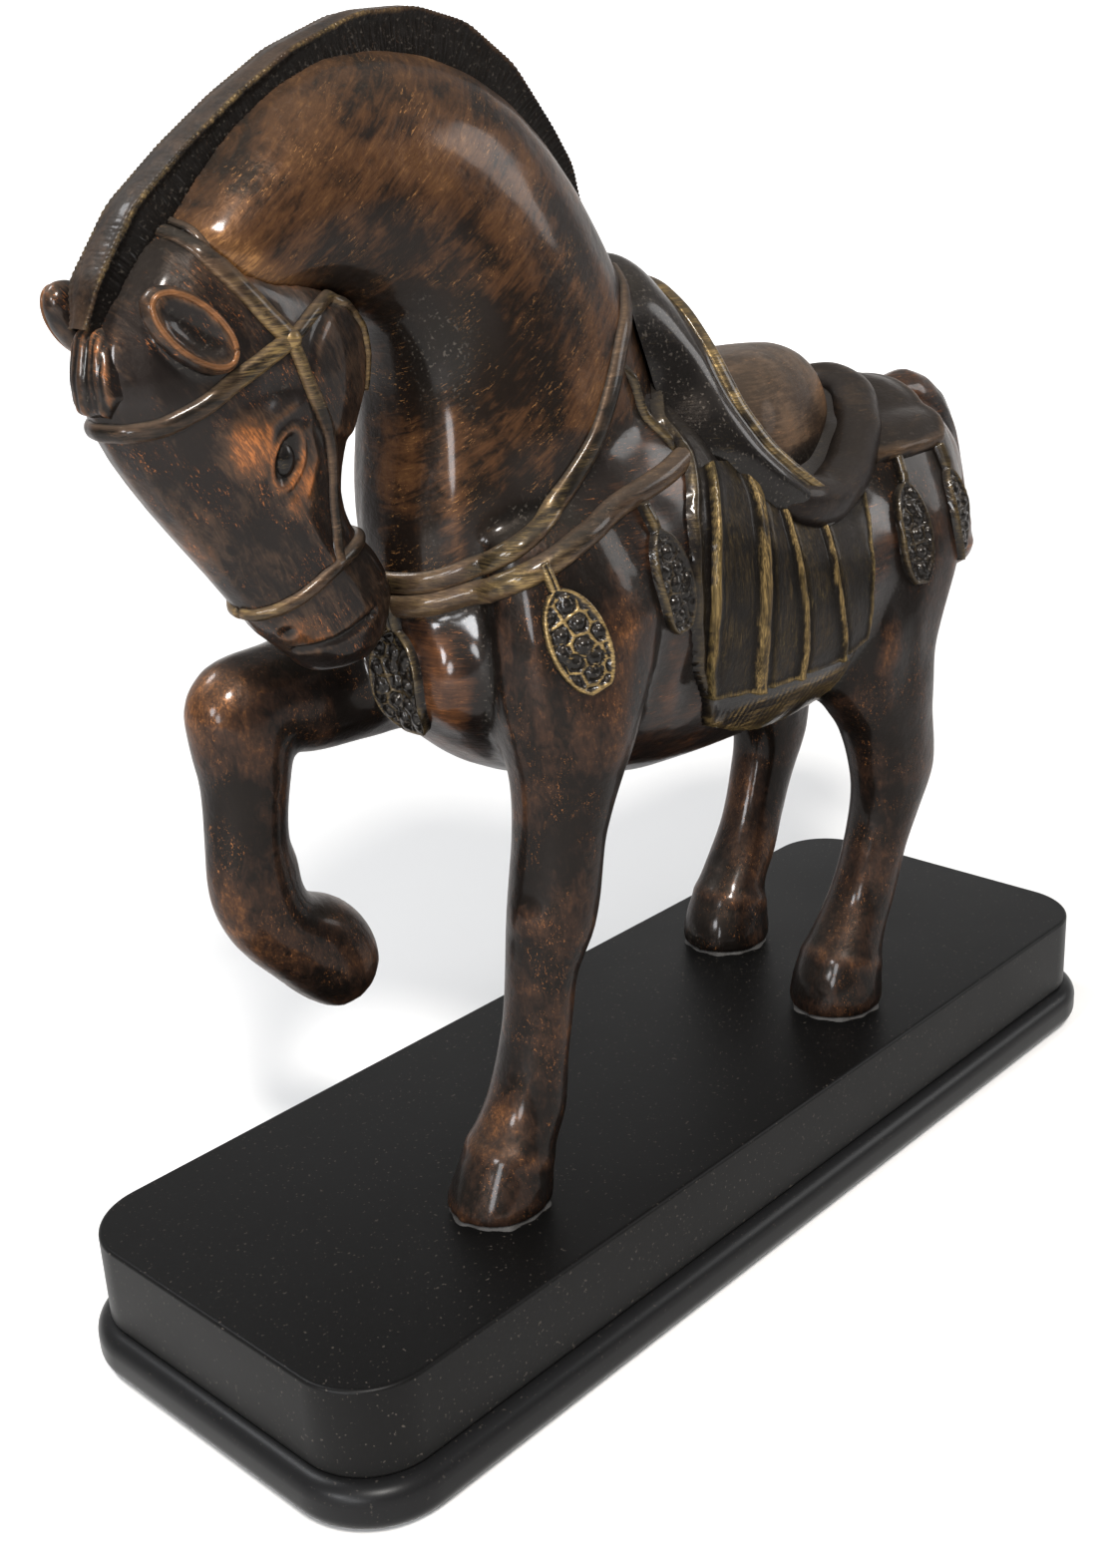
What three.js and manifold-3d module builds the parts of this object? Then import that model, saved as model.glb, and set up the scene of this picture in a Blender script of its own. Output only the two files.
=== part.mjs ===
// Walking horse statuette in dark patinated bronze, saddled and bridled, on a black moulded plinth.
// Units are millimetres and +Z is up. The horse faces -X and its left side is -Y.
// The origin is at the centre of the plinth's underside.
//
// The horse is cast in sections, each lofted through a few profile rows. The harness pieces are slices
// of the horse's own surface, grown outwards by their thickness. Screws rise through the plinth.
import * as THREE from 'three';
import Module from 'manifold-3d';
import { ParametricGeometry } from 'three/addons/geometries/ParametricGeometry.js';
import { mergeVertices } from 'three/addons/utils/BufferGeometryUtils.js';

const wasm = await Module();
wasm.setup();

// ---- Driving dimensions -------------------------------------------------------------------------
const FIT = 0.3; // clearance between neighbouring pieces
const CLEAR = 60; // half the width of a cutting block, past either side of the horse
const FELT = 1.2; // thickness of the felt under the plinth
const MOULDING_HEIGHT = 10;
const BLOCK_HEIGHT = 19;
const BLOCK_LENGTH = 250;
const BLOCK_WIDTH = 86;
const CORNER_RADIUS = 15;
const OVERHANG = 3; // how far the moulding stands out past the block
const MOULDING_ROUND = 3.6; // rounding of the moulding's edges
const BLOCK_ROUND = 0.8;
const FELT_MARGIN = 1; // how far the felt stays inside the block's outline
const DECK = FELT + MOULDING_HEIGHT + BLOCK_HEIGHT; // height of the plinth's top face
const HOOF_LINE = DECK + FIT;
const STRAP = 1.6; // thickness of the harness and bridle straps
const PENDANT = 2.2; // thickness of the pendants
const CLOTH = 1; // thickness of each layer of saddle cloth
const MANE_WIDTH = 6.5;
const MANE_HEIGHT = 5;
const SCREW_RADIUS = 2;
const SCREW_HEAD_RADIUS = 4;
const SCREW_REACH = 14; // how far a screw rises into its hoof
const HOOVES = { left_fore: [-66, -18.2], left_hind: [42.5, -21.8], right_hind: [53.5, 19.2] };

// ---- Materials ----------------------------------------------------------------------------------
const finish = (color, roughness, metalness) =>
  new THREE.MeshStandardMaterial({ color, roughness, metalness });
const BRONZE = finish(0x5a2f18, 0.35, 0.6);
const DARK_BRONZE = finish(0x1b1512, 0.35, 0.6);
const GILT_BRONZE = finish(0x6b5327, 0.4, 0.7);
const BLACK_WOOD = finish(0x161515, 0.5, 0);
const BLACK_FELT = finish(0x0c0c0c, 0.95, 0);
const STEEL = finish(0x8d8f92, 0.4, 0.9);

// ---- Solids -------------------------------------------------------------------------------------
// A manifold solid from a closed geometry, without the slivers that a pole or a seam leaves.
function solid(geometry) {
  const bare = geometry.clone();
  bare.deleteAttribute('normal');
  bare.deleteAttribute('uv');
  const merged = mergeVertices(bare, 1e-4);
  const corners = [];
  for (let i = 0; i < merged.index.count; i += 3) {
    const [a, b, c] = merged.index.array.slice(i, i + 3);
    if (a !== b && b !== c && c !== a) corners.push(a, b, c);
  }
  return new wasm.Manifold(new wasm.Mesh({
    numProp: 3,
    vertProperties: merged.attributes.position.array,
    triVerts: new Uint32Array(corners),
  }));
}

function geometryOf(manifold) {
  const mesh = manifold.getMesh();
  const positions = new Float32Array(mesh.numVert * 3);
  for (let i = 0; i < mesh.numVert; i++) {
    positions.set(mesh.vertProperties.subarray(i * mesh.numProp, i * mesh.numProp + 3), i * 3);
  }
  const geometry = new THREE.BufferGeometry();
  geometry.setAttribute('position', new THREE.BufferAttribute(positions, 3));
  geometry.setIndex(new THREE.BufferAttribute(mesh.triVerts, 1));
  geometry.computeVertexNormals();
  return geometry;
}

// A cut can leave crumbs beside the piece, so only the largest body is kept.
const largest = (manifold) => manifold.decompose().reduce((a, b) => (a.volume() > b.volume() ? a : b));
const join = (solids) => solids.reduce((a, b) => a.add(b));

// A closed body through profile rows. A row is [front x, front z, back x, back z, half width, y]:
// an ellipse that runs from front to back in side view, with its half width along Y.
// Caps are the lengths of the domed ends. Grow moves the whole surface outwards.
const DOME_STEPS = 2;
function loft(rows, sides, steps, caps, grow = 0) {
  const front = new THREE.CatmullRomCurve3(rows.map(([x, z]) => new THREE.Vector3(x, 0, z)));
  const back = new THREE.CatmullRomCurve3(rows.map((row) => new THREE.Vector3(row[2], 0, row[3])));
  const width = new THREE.CatmullRomCurve3(rows.map((row, i) => new THREE.Vector3(row[4], row[5] ?? 0, i)));
  const count = (rows.length - 1) * steps;
  const ringAt = (t) => {
    const [f, b, w] = [front.getPoint(t), back.getPoint(t), width.getPoint(t)];
    const depth = f.clone().sub(b).multiplyScalar(0.5);
    const centre = f.add(b).multiplyScalar(0.5).setY(w.y);
    return { centre, depth: depth.setLength(depth.length() + grow), half: w.x + grow };
  };
  const rings = Array.from({ length: count + 1 }, (_, i) => ringAt(i / count));
  const dome = (ring, inner, length) => {
    const axis = new THREE.Vector3(ring.depth.z, 0, -ring.depth.x).normalize();
    if (axis.dot(ring.centre.clone().sub(inner.centre)) < 0) axis.negate();
    return Array.from({ length: DOME_STEPS }, (_, i) => {
      const angle = ((i + 1) / DOME_STEPS) * (Math.PI / 2);
      const shrink = i + 1 < DOME_STEPS ? Math.cos(angle) : 0;
      return {
        centre: ring.centre.clone().addScaledVector(axis, (length + grow) * Math.sin(angle)),
        depth: ring.depth.clone().multiplyScalar(shrink),
        half: ring.half * shrink,
      };
    });
  };
  const all = [...dome(rings[0], rings[1], caps[0]).reverse(), ...rings];
  all.push(...dome(rings[count], rings[count - 1], caps[1]));
  const surface = (inward) => new ParametricGeometry((u, v, target) => {
    const ring = all[Math.round(v * (all.length - 1))];
    const angle = (inward ? -1 : 1) * (Math.round(u * sides) % sides) * ((2 * Math.PI) / sides);
    target.copy(ring.centre).addScaledVector(ring.depth, Math.cos(angle));
    target.y += ring.half * Math.sin(angle);
  }, sides, all.length - 1);
  const made = solid(surface(false));
  return made.volume() > 0 ? made : solid(surface(true));
}

function extrude(shape, depth, edge = 0, edgeSteps = 2, curveSegments = 5) {
  return new THREE.ExtrudeGeometry(shape, {
    depth: depth - 2 * edge,
    bevelEnabled: edge > 0,
    bevelThickness: edge,
    bevelSize: edge,
    bevelOffset: -edge,
    bevelSegments: edgeSteps,
    curveSegments,
  }).translate(0, 0, edge - depth / 2);
}

const polygon = (points) => new THREE.Shape(points.map(([x, y]) => new THREE.Vector2(x, y)));

// A side-view outline in X and Z, extruded from one Y to another.
function prism(points, yFrom, yTo) {
  const geometry = extrude(polygon(points), yTo - yFrom).rotateX(Math.PI / 2);
  return solid(geometry.translate(0, (yFrom + yTo) / 2, 0));
}

// A band of the given width along a side-view line.
function band(points, width, yFrom, yTo) {
  const spots = points.map(([x, z]) => new THREE.Vector2(x, z));
  const sides = [[], []];
  spots.forEach((spot, i) => {
    const along = spots[Math.min(i + 1, spots.length - 1)].clone().sub(spots[Math.max(i - 1, 0)]).normalize();
    const across = new THREE.Vector2(-along.y, along.x).multiplyScalar(width / 2);
    sides[0].push([spot.x + across.x, spot.y + across.y]);
    sides[1].unshift([spot.x - across.x, spot.y - across.y]);
  });
  return prism([...sides[0], ...sides[1]], yFrom, yTo);
}

// ---- Profile rows of the horse ------------------------------------------------------------------
const TORSO = [ // front is the belly and back is the top line
  [-61, 124, -60, 150, 15, 0],
  [-50, 114, -48, 172, 26, 0],
  [-32, 106, -32, 184, 31, 0],
  [-10, 100.5, -8, 183, 33, 0],
  [14, 100, 14, 167, 33.5, 0],
  [36, 101, 36, 160.5, 33, 0],
  [58, 104, 58, 164, 31, 0],
  [78, 111, 78, 168, 27, 0],
  [94, 126, 95, 162.5, 20, 0],
];
const NECK = [ // front is the windpipe and back is the crest
  [-57, 130, 5, 170, 23, 0],
  [-65, 147, -3, 192, 22.5, 0],
  [-65.5, 162, -10, 204, 21.5, 0],
  [-63.5, 175, -20, 219, 20, 0],
  [-62.5, 186, -34, 232.5, 18.5, 0],
  [-65.5, 196, -51, 239.5, 17, 0],
  [-72, 200, -73, 239.5, 15.5, 0],
  [-79, 203, -92, 230, 14, 0],
  [-88, 203, -106, 217, 12, 0],
];
const HEAD = [ // front is the face and back is the jaw
  [-111, 214, -88, 210, 10, 0],
  [-118, 206, -77, 205, 12.5, 0],
  [-121.5, 196, -69.5, 198, 13.5, 0],
  [-120, 187, -70, 189, 13.5, 0],
  [-115, 178, -75, 180, 12.5, 0],
  [-109, 169.5, -77, 172, 11, 0],
  [-103, 161.5, -75, 165, 9.7, 0],
  [-98, 154.5, -70.5, 160, 9.3, 0],
  [-93.5, 149, -67.5, 153, 9.2, 0],
  [-88, 144, -70, 146, 8, 0],
];
const LEFT_FORELEG = [
  [-57, 160, -24, 160, 10, -18],
  [-59, 144, -21, 144, 13, -20.5],
  [-59, 128, -27, 128, 13, -21.5],
  [-56, 115, -34, 115, 10.5, -22],
  [-56, 103, -39, 103, 9, -21.5],
  [-57.5, 92, -40.5, 92, 9, -21],
  [-58.5, 84, -42, 84, 8.5, -20.5],
  [-59.5, 76, -46, 76, 7, -20],
  [-60.5, 66, -47.5, 66, 6.8, -19.5],
  [-63, 56, -49.5, 56, 7.3, -19],
  [-66, 49, -50, 48, 8, -18.7],
  [-71, 43, -54, 41, 8.5, -18.5],
  [-75, 35, -55, 35, 9.7, -18.3],
  [-77.5, 30, -55, 30, 10.7, -18],
];
const RIGHT_FORELEG = [ // raised: the forearm runs level to the knee and the hoof folds back
  [-26, 160, -24, 128, 11, 18],
  [-40, 156, -37, 120, 12.5, 19],
  [-53, 148, -50, 117, 12, 19.5],
  [-66, 143, -64, 118, 10.5, 19],
  [-80, 141, -75, 119, 9.5, 19],
  [-92, 140, -79, 121, 9, 19],
  [-97.5, 131, -79, 118, 9, 19],
  [-96, 118, -80.5, 112, 7.8, 19],
  [-97, 106, -81, 105, 7, 19],
  [-97.5, 95, -79.5, 97, 7.3, 19],
  [-93.5, 85, -77.5, 91, 7.6, 19],
  [-86.5, 76.5, -71.5, 88.5, 8.5, 19],
  [-79.5, 69, -66, 83.5, 9.5, 19],
  [-74.5, 65, -63.5, 77.5, 9.3, 19],
];
const LEFT_HIND_LEG = [
  [46, 158, 88, 158, 10, -16],
  [40, 142, 90, 144, 13.5, -18.5],
  [33, 122, 78.5, 126, 13.5, -21],
  [36, 108, 71.5, 110, 11.5, -23],
  [44.5, 97, 70, 97, 9.5, -24.5],
  [47.5, 86, 72, 84, 8, -25],
  [49, 77, 67, 75, 7.3, -24.5],
  [46.5, 66, 61.5, 65, 6.8, -24],
  [43.5, 56, 59, 55, 7.3, -23],
  [38, 48, 55, 47, 8, -22.5],
  [33.5, 40, 53, 39, 9.7, -22],
  [31, 30, 54, 30, 11, -21.8],
];
const RIGHT_HIND_LEG = [
  [50, 158, 90, 158, 10, 16],
  [47, 142, 95, 142, 13.5, 18],
  [46, 122, 95, 124, 14, 20],
  [52, 106, 91, 106, 11.5, 21],
  [59, 93, 88, 91, 9, 21],
  [64, 81, 85, 79, 8, 20.5],
  [62, 71, 79, 70, 7.3, 20.3],
  [58, 60, 74, 60, 7, 20],
  [53, 51, 70, 51, 7.8, 20],
  [49, 46, 65, 44, 8, 19.8],
  [44, 38, 65, 37, 9.7, 19.5],
  [42, 30, 65, 30, 11, 19.2],
];
const TAIL = [ // front is the outer curve and back lies against the buttocks
  [87, 165, 92, 150, 5, 0],
  [100, 167.5, 99, 152, 6.5, 0],
  [111, 162, 102.5, 148, 7.5, 0],
  [117.5, 150, 105.5, 143, 8, 0],
  [121, 137, 107, 132, 8, -0.5],
  [124.5, 127.5, 109, 122.5, 7.5, -1],
  [127, 121.5, 113, 117, 6, -1.5],
];

// ---- The horse's castings -----------------------------------------------------------------------
const castings = {
  torso: (grow) => loft(TORSO, 24, 2, [5, 12], grow),
  neck: (grow) => loft(NECK, 20, 2, [3, 5], grow),
  head: (grow) => loft(HEAD, 18, 2, [4, 4], grow),
  left_foreleg: (grow) => loft(LEFT_FORELEG, 12, 2, [3, 2], grow),
  right_foreleg: (grow) => loft(RIGHT_FORELEG, 12, 2, [3, 1.5], grow),
  left_hind_leg: (grow) => loft(LEFT_HIND_LEG, 12, 2, [4, 2], grow),
  right_hind_leg: (grow) => loft(RIGHT_HIND_LEG, 12, 2, [4, 2], grow),
  tail: (grow) => loft(TAIL, 12, 2, [2, 3], grow),
};
const BODY = ['torso', 'neck', 'left_foreleg', 'right_foreleg', 'left_hind_leg', 'right_hind_leg'];
const FACE = ['head', 'neck'];

// The layer of a set of castings between two distances from their surface.
const grown = new Map();
function grow(names, distance) {
  const key = `${names} ${distance}`;
  if (!grown.has(key)) grown.set(key, join(names.map((name) => castings[name](distance))));
  return grown.get(key);
}
const layer = (names, from, to) => grow(names, to).subtract(grow(names, from));

const object = new THREE.Group();
function add(name, made, look) {
  const kept = largest(made);
  const mesh = new THREE.Mesh(geometryOf(kept), look);
  mesh.name = name;
  object.add(mesh);
}

// ---- Plinth -------------------------------------------------------------------------------------
function roundedRectangle(length, width, radius) {
  const x = length / 2 - radius;
  const y = width / 2 - radius;
  const shape = new THREE.Shape();
  shape.absarc(x, y, radius, 0, Math.PI / 2);
  shape.absarc(-x, y, radius, Math.PI / 2, Math.PI);
  shape.absarc(-x, -y, radius, Math.PI, 1.5 * Math.PI);
  shape.absarc(x, -y, radius, 1.5 * Math.PI, 2 * Math.PI);
  return shape;
}

function slab(margin, bottom, height, edge, edgeSteps) {
  const shape = roundedRectangle(BLOCK_LENGTH + 2 * margin, BLOCK_WIDTH + 2 * margin, CORNER_RADIUS + margin);
  return solid(extrude(shape, height, edge, edgeSteps).translate(0, 0, bottom + height / 2));
}

// A round bar that stands on the given height at a hoof's place.
function bar([x, y], radius, bottom, top) {
  const geometry = new THREE.CylinderGeometry(radius, radius, top - bottom, 12).rotateX(Math.PI / 2);
  return solid(geometry.translate(x, y, (top + bottom) / 2));
}

const spots = Object.values(HOOVES);
const bores = join(spots.map((spot) => bar(spot, SCREW_RADIUS + FIT, -1, HOOF_LINE + SCREW_REACH + FIT)));
const sinks = join(spots.map((spot) => bar(spot, SCREW_HEAD_RADIUS + FIT, -1, FELT + MOULDING_HEIGHT / 2)));
const felt = slab(-FELT_MARGIN, 0, FELT, 0);
const moulding = slab(OVERHANG, FELT + FIT, MOULDING_HEIGHT - FIT, MOULDING_ROUND, 3);
const block = slab(0, DECK - BLOCK_HEIGHT + FIT, BLOCK_HEIGHT - FIT, BLOCK_ROUND, 1);
add('felt_pad', felt.subtract(sinks), BLACK_FELT);
add('plinth_moulding', moulding.subtract(bores).subtract(sinks), BLACK_WOOD);
add('plinth_block', block.subtract(bores), BLACK_WOOD);
for (const [name, spot] of Object.entries(HOOVES)) {
  const head = bar(spot, SCREW_HEAD_RADIUS, FELT, FELT + MOULDING_HEIGHT / 2 - FIT);
  const shank = bar(spot, SCREW_RADIUS, FELT, HOOF_LINE + SCREW_REACH);
  add(`screw_${name}`, head.add(shank), STEEL);
}

// ---- Castings -----------------------------------------------------------------------------------
const names = Object.keys(castings);
names.forEach((name, i) => {
  let made = castings[name](0).trimByPlane([0, 0, 1], HOOF_LINE).subtract(bores);
  for (const earlier of names.slice(0, i)) made = made.subtract(castings[earlier](FIT));
  add(name, made, BRONZE);
});

// ---- Mane, forelock, ears and eyes --------------------------------------------------------------
const CREST = [[-115, 206], [-108, 216.5], [-98, 224], [-88, 230.5], [-77, 236.5], [-64, 241],
  [-53, 241.7], [-43, 239.5], [-33.5, 233.5], [-25, 223.5], [-15, 209.5]];
const CROWNPIECE = [[-91, 197], [-105, 215], [-112, 224]];
const CROWNPIECE_WIDTH = 5;
const crownLayer = layer(FACE, FIT, FIT + STRAP);
const crownBand = (gap) => band(CROWNPIECE, CROWNPIECE_WIDTH + 2 * gap, -CLEAR, CLEAR);
add('crownpiece', crownLayer.intersect(crownBand(0)), DARK_BRONZE);
const crownClearance = layer(FACE, -FIT, STRAP + 2 * FIT).intersect(crownBand(FIT));
const maneBand = (gap) =>
  band(CREST, 2 * (MANE_HEIGHT + gap), -MANE_WIDTH / 2 - gap, MANE_WIDTH / 2 + gap);
const COLLAR = [[-4, 203], [-26, 190], [-37, 172], [-48, 163], [-56, 159], [-60, 155], [-75, 151.5]];
const COLLAR_WIDTH = 5;
const collarBand = (gap) => band(COLLAR, COLLAR_WIDTH + 2 * gap, -CLEAR, CLEAR);
const mane = maneBand(0).subtract(grow(FACE, FIT)).subtract(crownClearance);
add('mane', mane.subtract(collarBand(FIT)), DARK_BRONZE);

const ellipsoid = ([x, y, z], [a, b, c], sides = 16) => solid(
  new THREE.SphereGeometry(1, sides, sides / 2).rotateX(Math.PI / 2).scale(a, b, c).translate(x, y, z),
);

// A cupped leaf that lies back against the poll: a flattened ellipsoid hollowed from its outer face.
const EAR = { x: -111, z: 202.5, across: 4.8, thick: 3.6, along: 8.8 };
const EAR_RIM = 1.3;
const EAR_Y = { left: -13, right: 15.5 }; // the right ear turns a little further out
function ear(y) {
  const side = Math.sign(y);
  const along = new THREE.Vector3(-11, -side * 3.5, 10.5).normalize();
  const outward = new THREE.Vector3(-0.62, side * 0.62, 0.48);
  outward.addScaledVector(along, -outward.dot(along)).normalize();
  const across = new THREE.Vector3().crossVectors(outward, along);
  const place = new THREE.Matrix4().makeBasis(across, outward, along).setPosition(EAR.x, y, EAR.z);
  const leaf = new THREE.SphereGeometry(1, 14, 10).scale(EAR.across, EAR.thick, EAR.along);
  const cup = new THREE.SphereGeometry(1, 12, 8)
    .scale(EAR.across - EAR_RIM, EAR.thick - EAR_RIM / 2, EAR.along - EAR_RIM)
    .translate(0, EAR.thick, 0);
  return solid(leaf.applyMatrix4(place)).subtract(solid(cup.applyMatrix4(place)));
}
const FORELOCK = [[-106, 214], [-124, 210], [-127, 196], [-120, 188.5], [-114, 193], [-110, 203]];
const FORELOCK_HALF_WIDTH = 5;
const FORELOCK_THICKNESS = 2.5;
const BROWBAND = [[-128, 186], [-94.5, 194.5]];
const BROWBAND_WIDTH = 4;
const browBand = (gap) => band(BROWBAND, BROWBAND_WIDTH + 2 * gap, -CLEAR, CLEAR);
const forelock = layer(['head'], FIT, FIT + FORELOCK_THICKNESS)
  .intersect(prism(FORELOCK, -FORELOCK_HALF_WIDTH, FORELOCK_HALF_WIDTH))
  .subtract(crownClearance)
  .subtract(maneBand(FIT));
add('forelock', forelock.subtract(browBand(FIT)), DARK_BRONZE);
const EYE = { x: -96, y: 12, z: 181 };
const EYE_RADII = [4.2, 3.5, 3];
for (const [name, side] of [['left', -1], ['right', 1]]) {
  const eye = ellipsoid([EYE.x, side * EYE.y, EYE.z], EYE_RADII);
  add(`${name}_ear`, ear(EAR_Y[name]).subtract(grow(FACE, FIT)).subtract(crownClearance), BRONZE);
  add(`${name}_eye`, eye.subtract(grow(['head'], FIT)), DARK_BRONZE);
}

// ---- Bridle -------------------------------------------------------------------------------------
const onFace = (cut) => layer(['head'], FIT, FIT + STRAP).intersect(cut).subtract(grow(['neck'], FIT));
add('browband', onFace(browBand(0)), DARK_BRONZE);
const NOSEBAND = [[-110, 164], [-95, 158], [-60, 167]];
const NOSEBAND_WIDTH = 5;
add('noseband', onFace(band(NOSEBAND, NOSEBAND_WIDTH, -CLEAR, CLEAR)), GILT_BRONZE);
const THROATLATCH = [[-87, 199.5], [-79, 203], [-66, 204.5]];
const CHEEK_STRAP = [[-91, 190.5], [-85.5, 180], [-84.5, 164.5]];
const CHEEK_STRAP_WIDTH = 3.6;
for (const [name, yFrom, yTo] of [['left', -CLEAR, -2], ['right', 2, CLEAR]]) {
  const throatlatch = band(THROATLATCH, CHEEK_STRAP_WIDTH, yFrom, yTo);
  const cheekStrap = band(CHEEK_STRAP, CHEEK_STRAP_WIDTH, yFrom, yTo);
  add(`${name}_throatlatch`, crownLayer.intersect(throatlatch), DARK_BRONZE);
  add(`${name}_cheek_strap`, onFace(cheekStrap), GILT_BRONZE);
}

// ---- Harness ------------------------------------------------------------------------------------
const cloth = layer(BODY, FIT, FIT + CLOTH);
const overCloth = layer(BODY, 2 * FIT + CLOTH, 2 * FIT + 2 * CLOTH);
const strap = layer(BODY, FIT, FIT + STRAP);
const BLANKET = [[-9, 210], [-15, 185], [-13.5, 169], [-18.5, 159], [-20.5, 148], [-20, 139],
  [-17, 129], [-9, 114.5], [2, 110], [15, 106.5], [27, 106], [33, 109], [35, 115], [35.5, 124],
  [39, 141], [43.5, 150], [43.5, 200]];
add('blanket', cloth.intersect(prism(BLANKET, -CLEAR, CLEAR)).subtract(collarBand(FIT)), DARK_BRONZE);
const SKIRT = [[-11, 163], [-15.5, 152], [-16.4, 145], [-16, 137], [-13, 122], [5, 120], [21, 120],
  [35, 122.5], [35.5, 132], [38.5, 142], [42, 153]];
for (const [name, yFrom, yTo] of [['left', -CLEAR, -5], ['right', 5, CLEAR]]) {
  add(`${name}_skirt`, overCloth.intersect(prism(SKIRT, yFrom, yTo)), GILT_BRONZE);
}
// The saddle: a padded base, a roll round the seat's sides and back, a domed seat and a high front arch.
const SEAT = { x: 37, z: 158, length: 27, width: 21, height: 22.4 };
const ROLL_RADIUS = 5;
const PANEL_THICKNESS = 1.5;
const onSkirt = 3 * FIT + 2 * CLOTH; // the height of the skirts' outer face over the body
const overSkirt = layer(BODY, onSkirt, onSkirt + PANEL_THICKNESS);
const PANEL = [[0, 205], [0, 185], [2, 170], [4, 156], [12, 152], [26, 150.5], [42, 154],
  [56, 160], [70, 164], [70, 200]];
add('saddle_panel', overSkirt.intersect(prism(PANEL, -CLEAR, CLEAR)).subtract(collarBand(FIT)), DARK_BRONZE);
const underSaddle = grow(BODY, onSkirt + PANEL_THICKNESS + FIT);
const ROLL_SIDE = [[6, 29.5, 160], [15, 29.5, 156], [27, 28.5, 154], [41, 24.5, 156], [55, 18, 162],
  [66, 9, 167]];
const ROLL_BACK = [70, 0, 168.5];
const rollPoints = [...ROLL_SIDE.map(([x, y, z]) => [x, -y, z]), ROLL_BACK];
rollPoints.push(...ROLL_SIDE.toReversed());
const rollPath = new THREE.CatmullRomCurve3(rollPoints.map((point) => new THREE.Vector3(...point)));
const rollSection = new THREE.Shape().absarc(0, 0, ROLL_RADIUS, 0, 2 * Math.PI);
const roll = new THREE.ExtrudeGeometry(rollSection, { steps: 26, curveSegments: 5, extrudePath: rollPath });
const ARCH = [[-17, 198.5], [-8, 199.5], [0, 199], [1, 186], [2, 174.5], [6, 166.5], [14, 160],
  [24, 154], [24, 148], [8, 150], [-2, 157], [-10, 164], [-14, 174], [-16, 186]];
const ARCH_FRONT = [[33, 148], [32, 160], [30, 167], [26, 175], [21, 184], [15, 192.5], [8, 197.5],
  [0, 199]];
const ARCH_DEPTH = 70; // long enough to cross the side outline
// The arch is its side outline cut to its front outline. Back moves it along X.
function arch(back) {
  const half = ARCH_FRONT.map(([y, z]) => [-y, z]);
  const front = polygon([...half, ...ARCH_FRONT.toReversed().slice(1)]);
  const frontGeometry = extrude(front, ARCH_DEPTH).rotateX(Math.PI / 2).rotateZ(Math.PI / 2);
  const made = prism(ARCH.map(([x, z]) => [x + back, z]), -ARCH_FRONT[0][0], ARCH_FRONT[0][0]);
  return made.intersect(solid(frontGeometry.translate(back, 0, 0)));
}
add('saddle_arch', arch(0).subtract(underSaddle).subtract(collarBand(FIT)), DARK_BRONZE);
const archClearance = arch(0).add(arch(2 * FIT));
const seatRadii = [SEAT.length, SEAT.width, SEAT.height];
const seat = (gap) => ellipsoid([SEAT.x, 0, SEAT.z], seatRadii.map((radius) => radius + gap), 20);
add('saddle_seat', seat(0).subtract(underSaddle).subtract(archClearance), BRONZE);
add('saddle_roll', solid(roll).subtract(underSaddle).subtract(archClearance).subtract(seat(FIT)), BRONZE);

const RUMP_COVER = [[44, 200], [44, 155.5], [56, 155.6], [73, 155.8], [78, 157.5], [86, 163],
  [91, 166], [91, 200]];
add('rump_cover', strap.intersect(prism(RUMP_COVER, -CLEAR, CLEAR)).subtract(castings.tail(FIT)), BRONZE);
add('neck_collar', strap.intersect(collarBand(0)).subtract(grow(['head'], FIT)), DARK_BRONZE);
const BREAST_STRAP = [[-21, 167], [-34, 164], [-47, 159.2], [-56, 155], [-60, 150], [-75, 146.5]];
const BREAST_STRAP_WIDTH = 5;
const breastStrap = strap.intersect(band(BREAST_STRAP, BREAST_STRAP_WIDTH, -CLEAR, CLEAR));
add('breast_strap', breastStrap.subtract(collarBand(FIT)), DARK_BRONZE);

// A pendant is a leaf-shaped plate that hangs against the body, stamped through the strap's layer.
function pendant(length, width, lean, depth = 36) {
  const shape = new THREE.Shape();
  shape.moveTo(-1.2, 0);
  shape.bezierCurveTo(-1.2, -4, -width * 0.7, -5, -width / 2, -length * 0.55);
  shape.bezierCurveTo(-width * 0.45, -length * 0.95, width * 0.45, -length * 1.05, width / 2, -length * 0.55);
  shape.bezierCurveTo(width * 0.7, -5, 1.2, -4, 1.2, 0);
  shape.closePath();
  return extrude(shape, depth, 0, 0, 4).rotateZ(lean).rotateX(Math.PI / 2);
}
// Each entry is [x, y, z of the top, yaw, length, width, lean].
const PENDANTS = {
  side: [-28.9, -30, 161.3, 0, 23.5, 8.5, 0.24],
  front: [-53.4, -27, 155.2, -0.75, 23.5, 9.5, 0.365],
  rump_front: [57, -27, 155.5, 0, 26, 8, -0.07],
  rump_rear: [72, -26, 155.5, 0.3, 24.5, 7, 0],
};
const lowered = RUMP_COVER.map(([x, z]) => [x, z - FIT]);
const aroundStrap = band(BREAST_STRAP, BREAST_STRAP_WIDTH + 2 * FIT, -CLEAR, CLEAR);
const behindPendants = aroundStrap.add(prism(lowered, -CLEAR, CLEAR));
const plate = layer(BODY, FIT, FIT + PENDANT);
const hang = (geometry, x, y, z) => plate.intersect(solid(geometry.translate(x, y, z)));
for (const [name, [x, y, z, yaw, length, width, lean]] of Object.entries(PENDANTS)) {
  for (const [side, turn] of [['left', 1], ['right', -1]]) {
    const made = hang(pendant(length, width, lean).rotateZ(turn * yaw), x, turn * y, z);
    add(`${side}_${name}_pendant`, made.subtract(behindPendants), DARK_BRONZE);
  }
}
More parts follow.
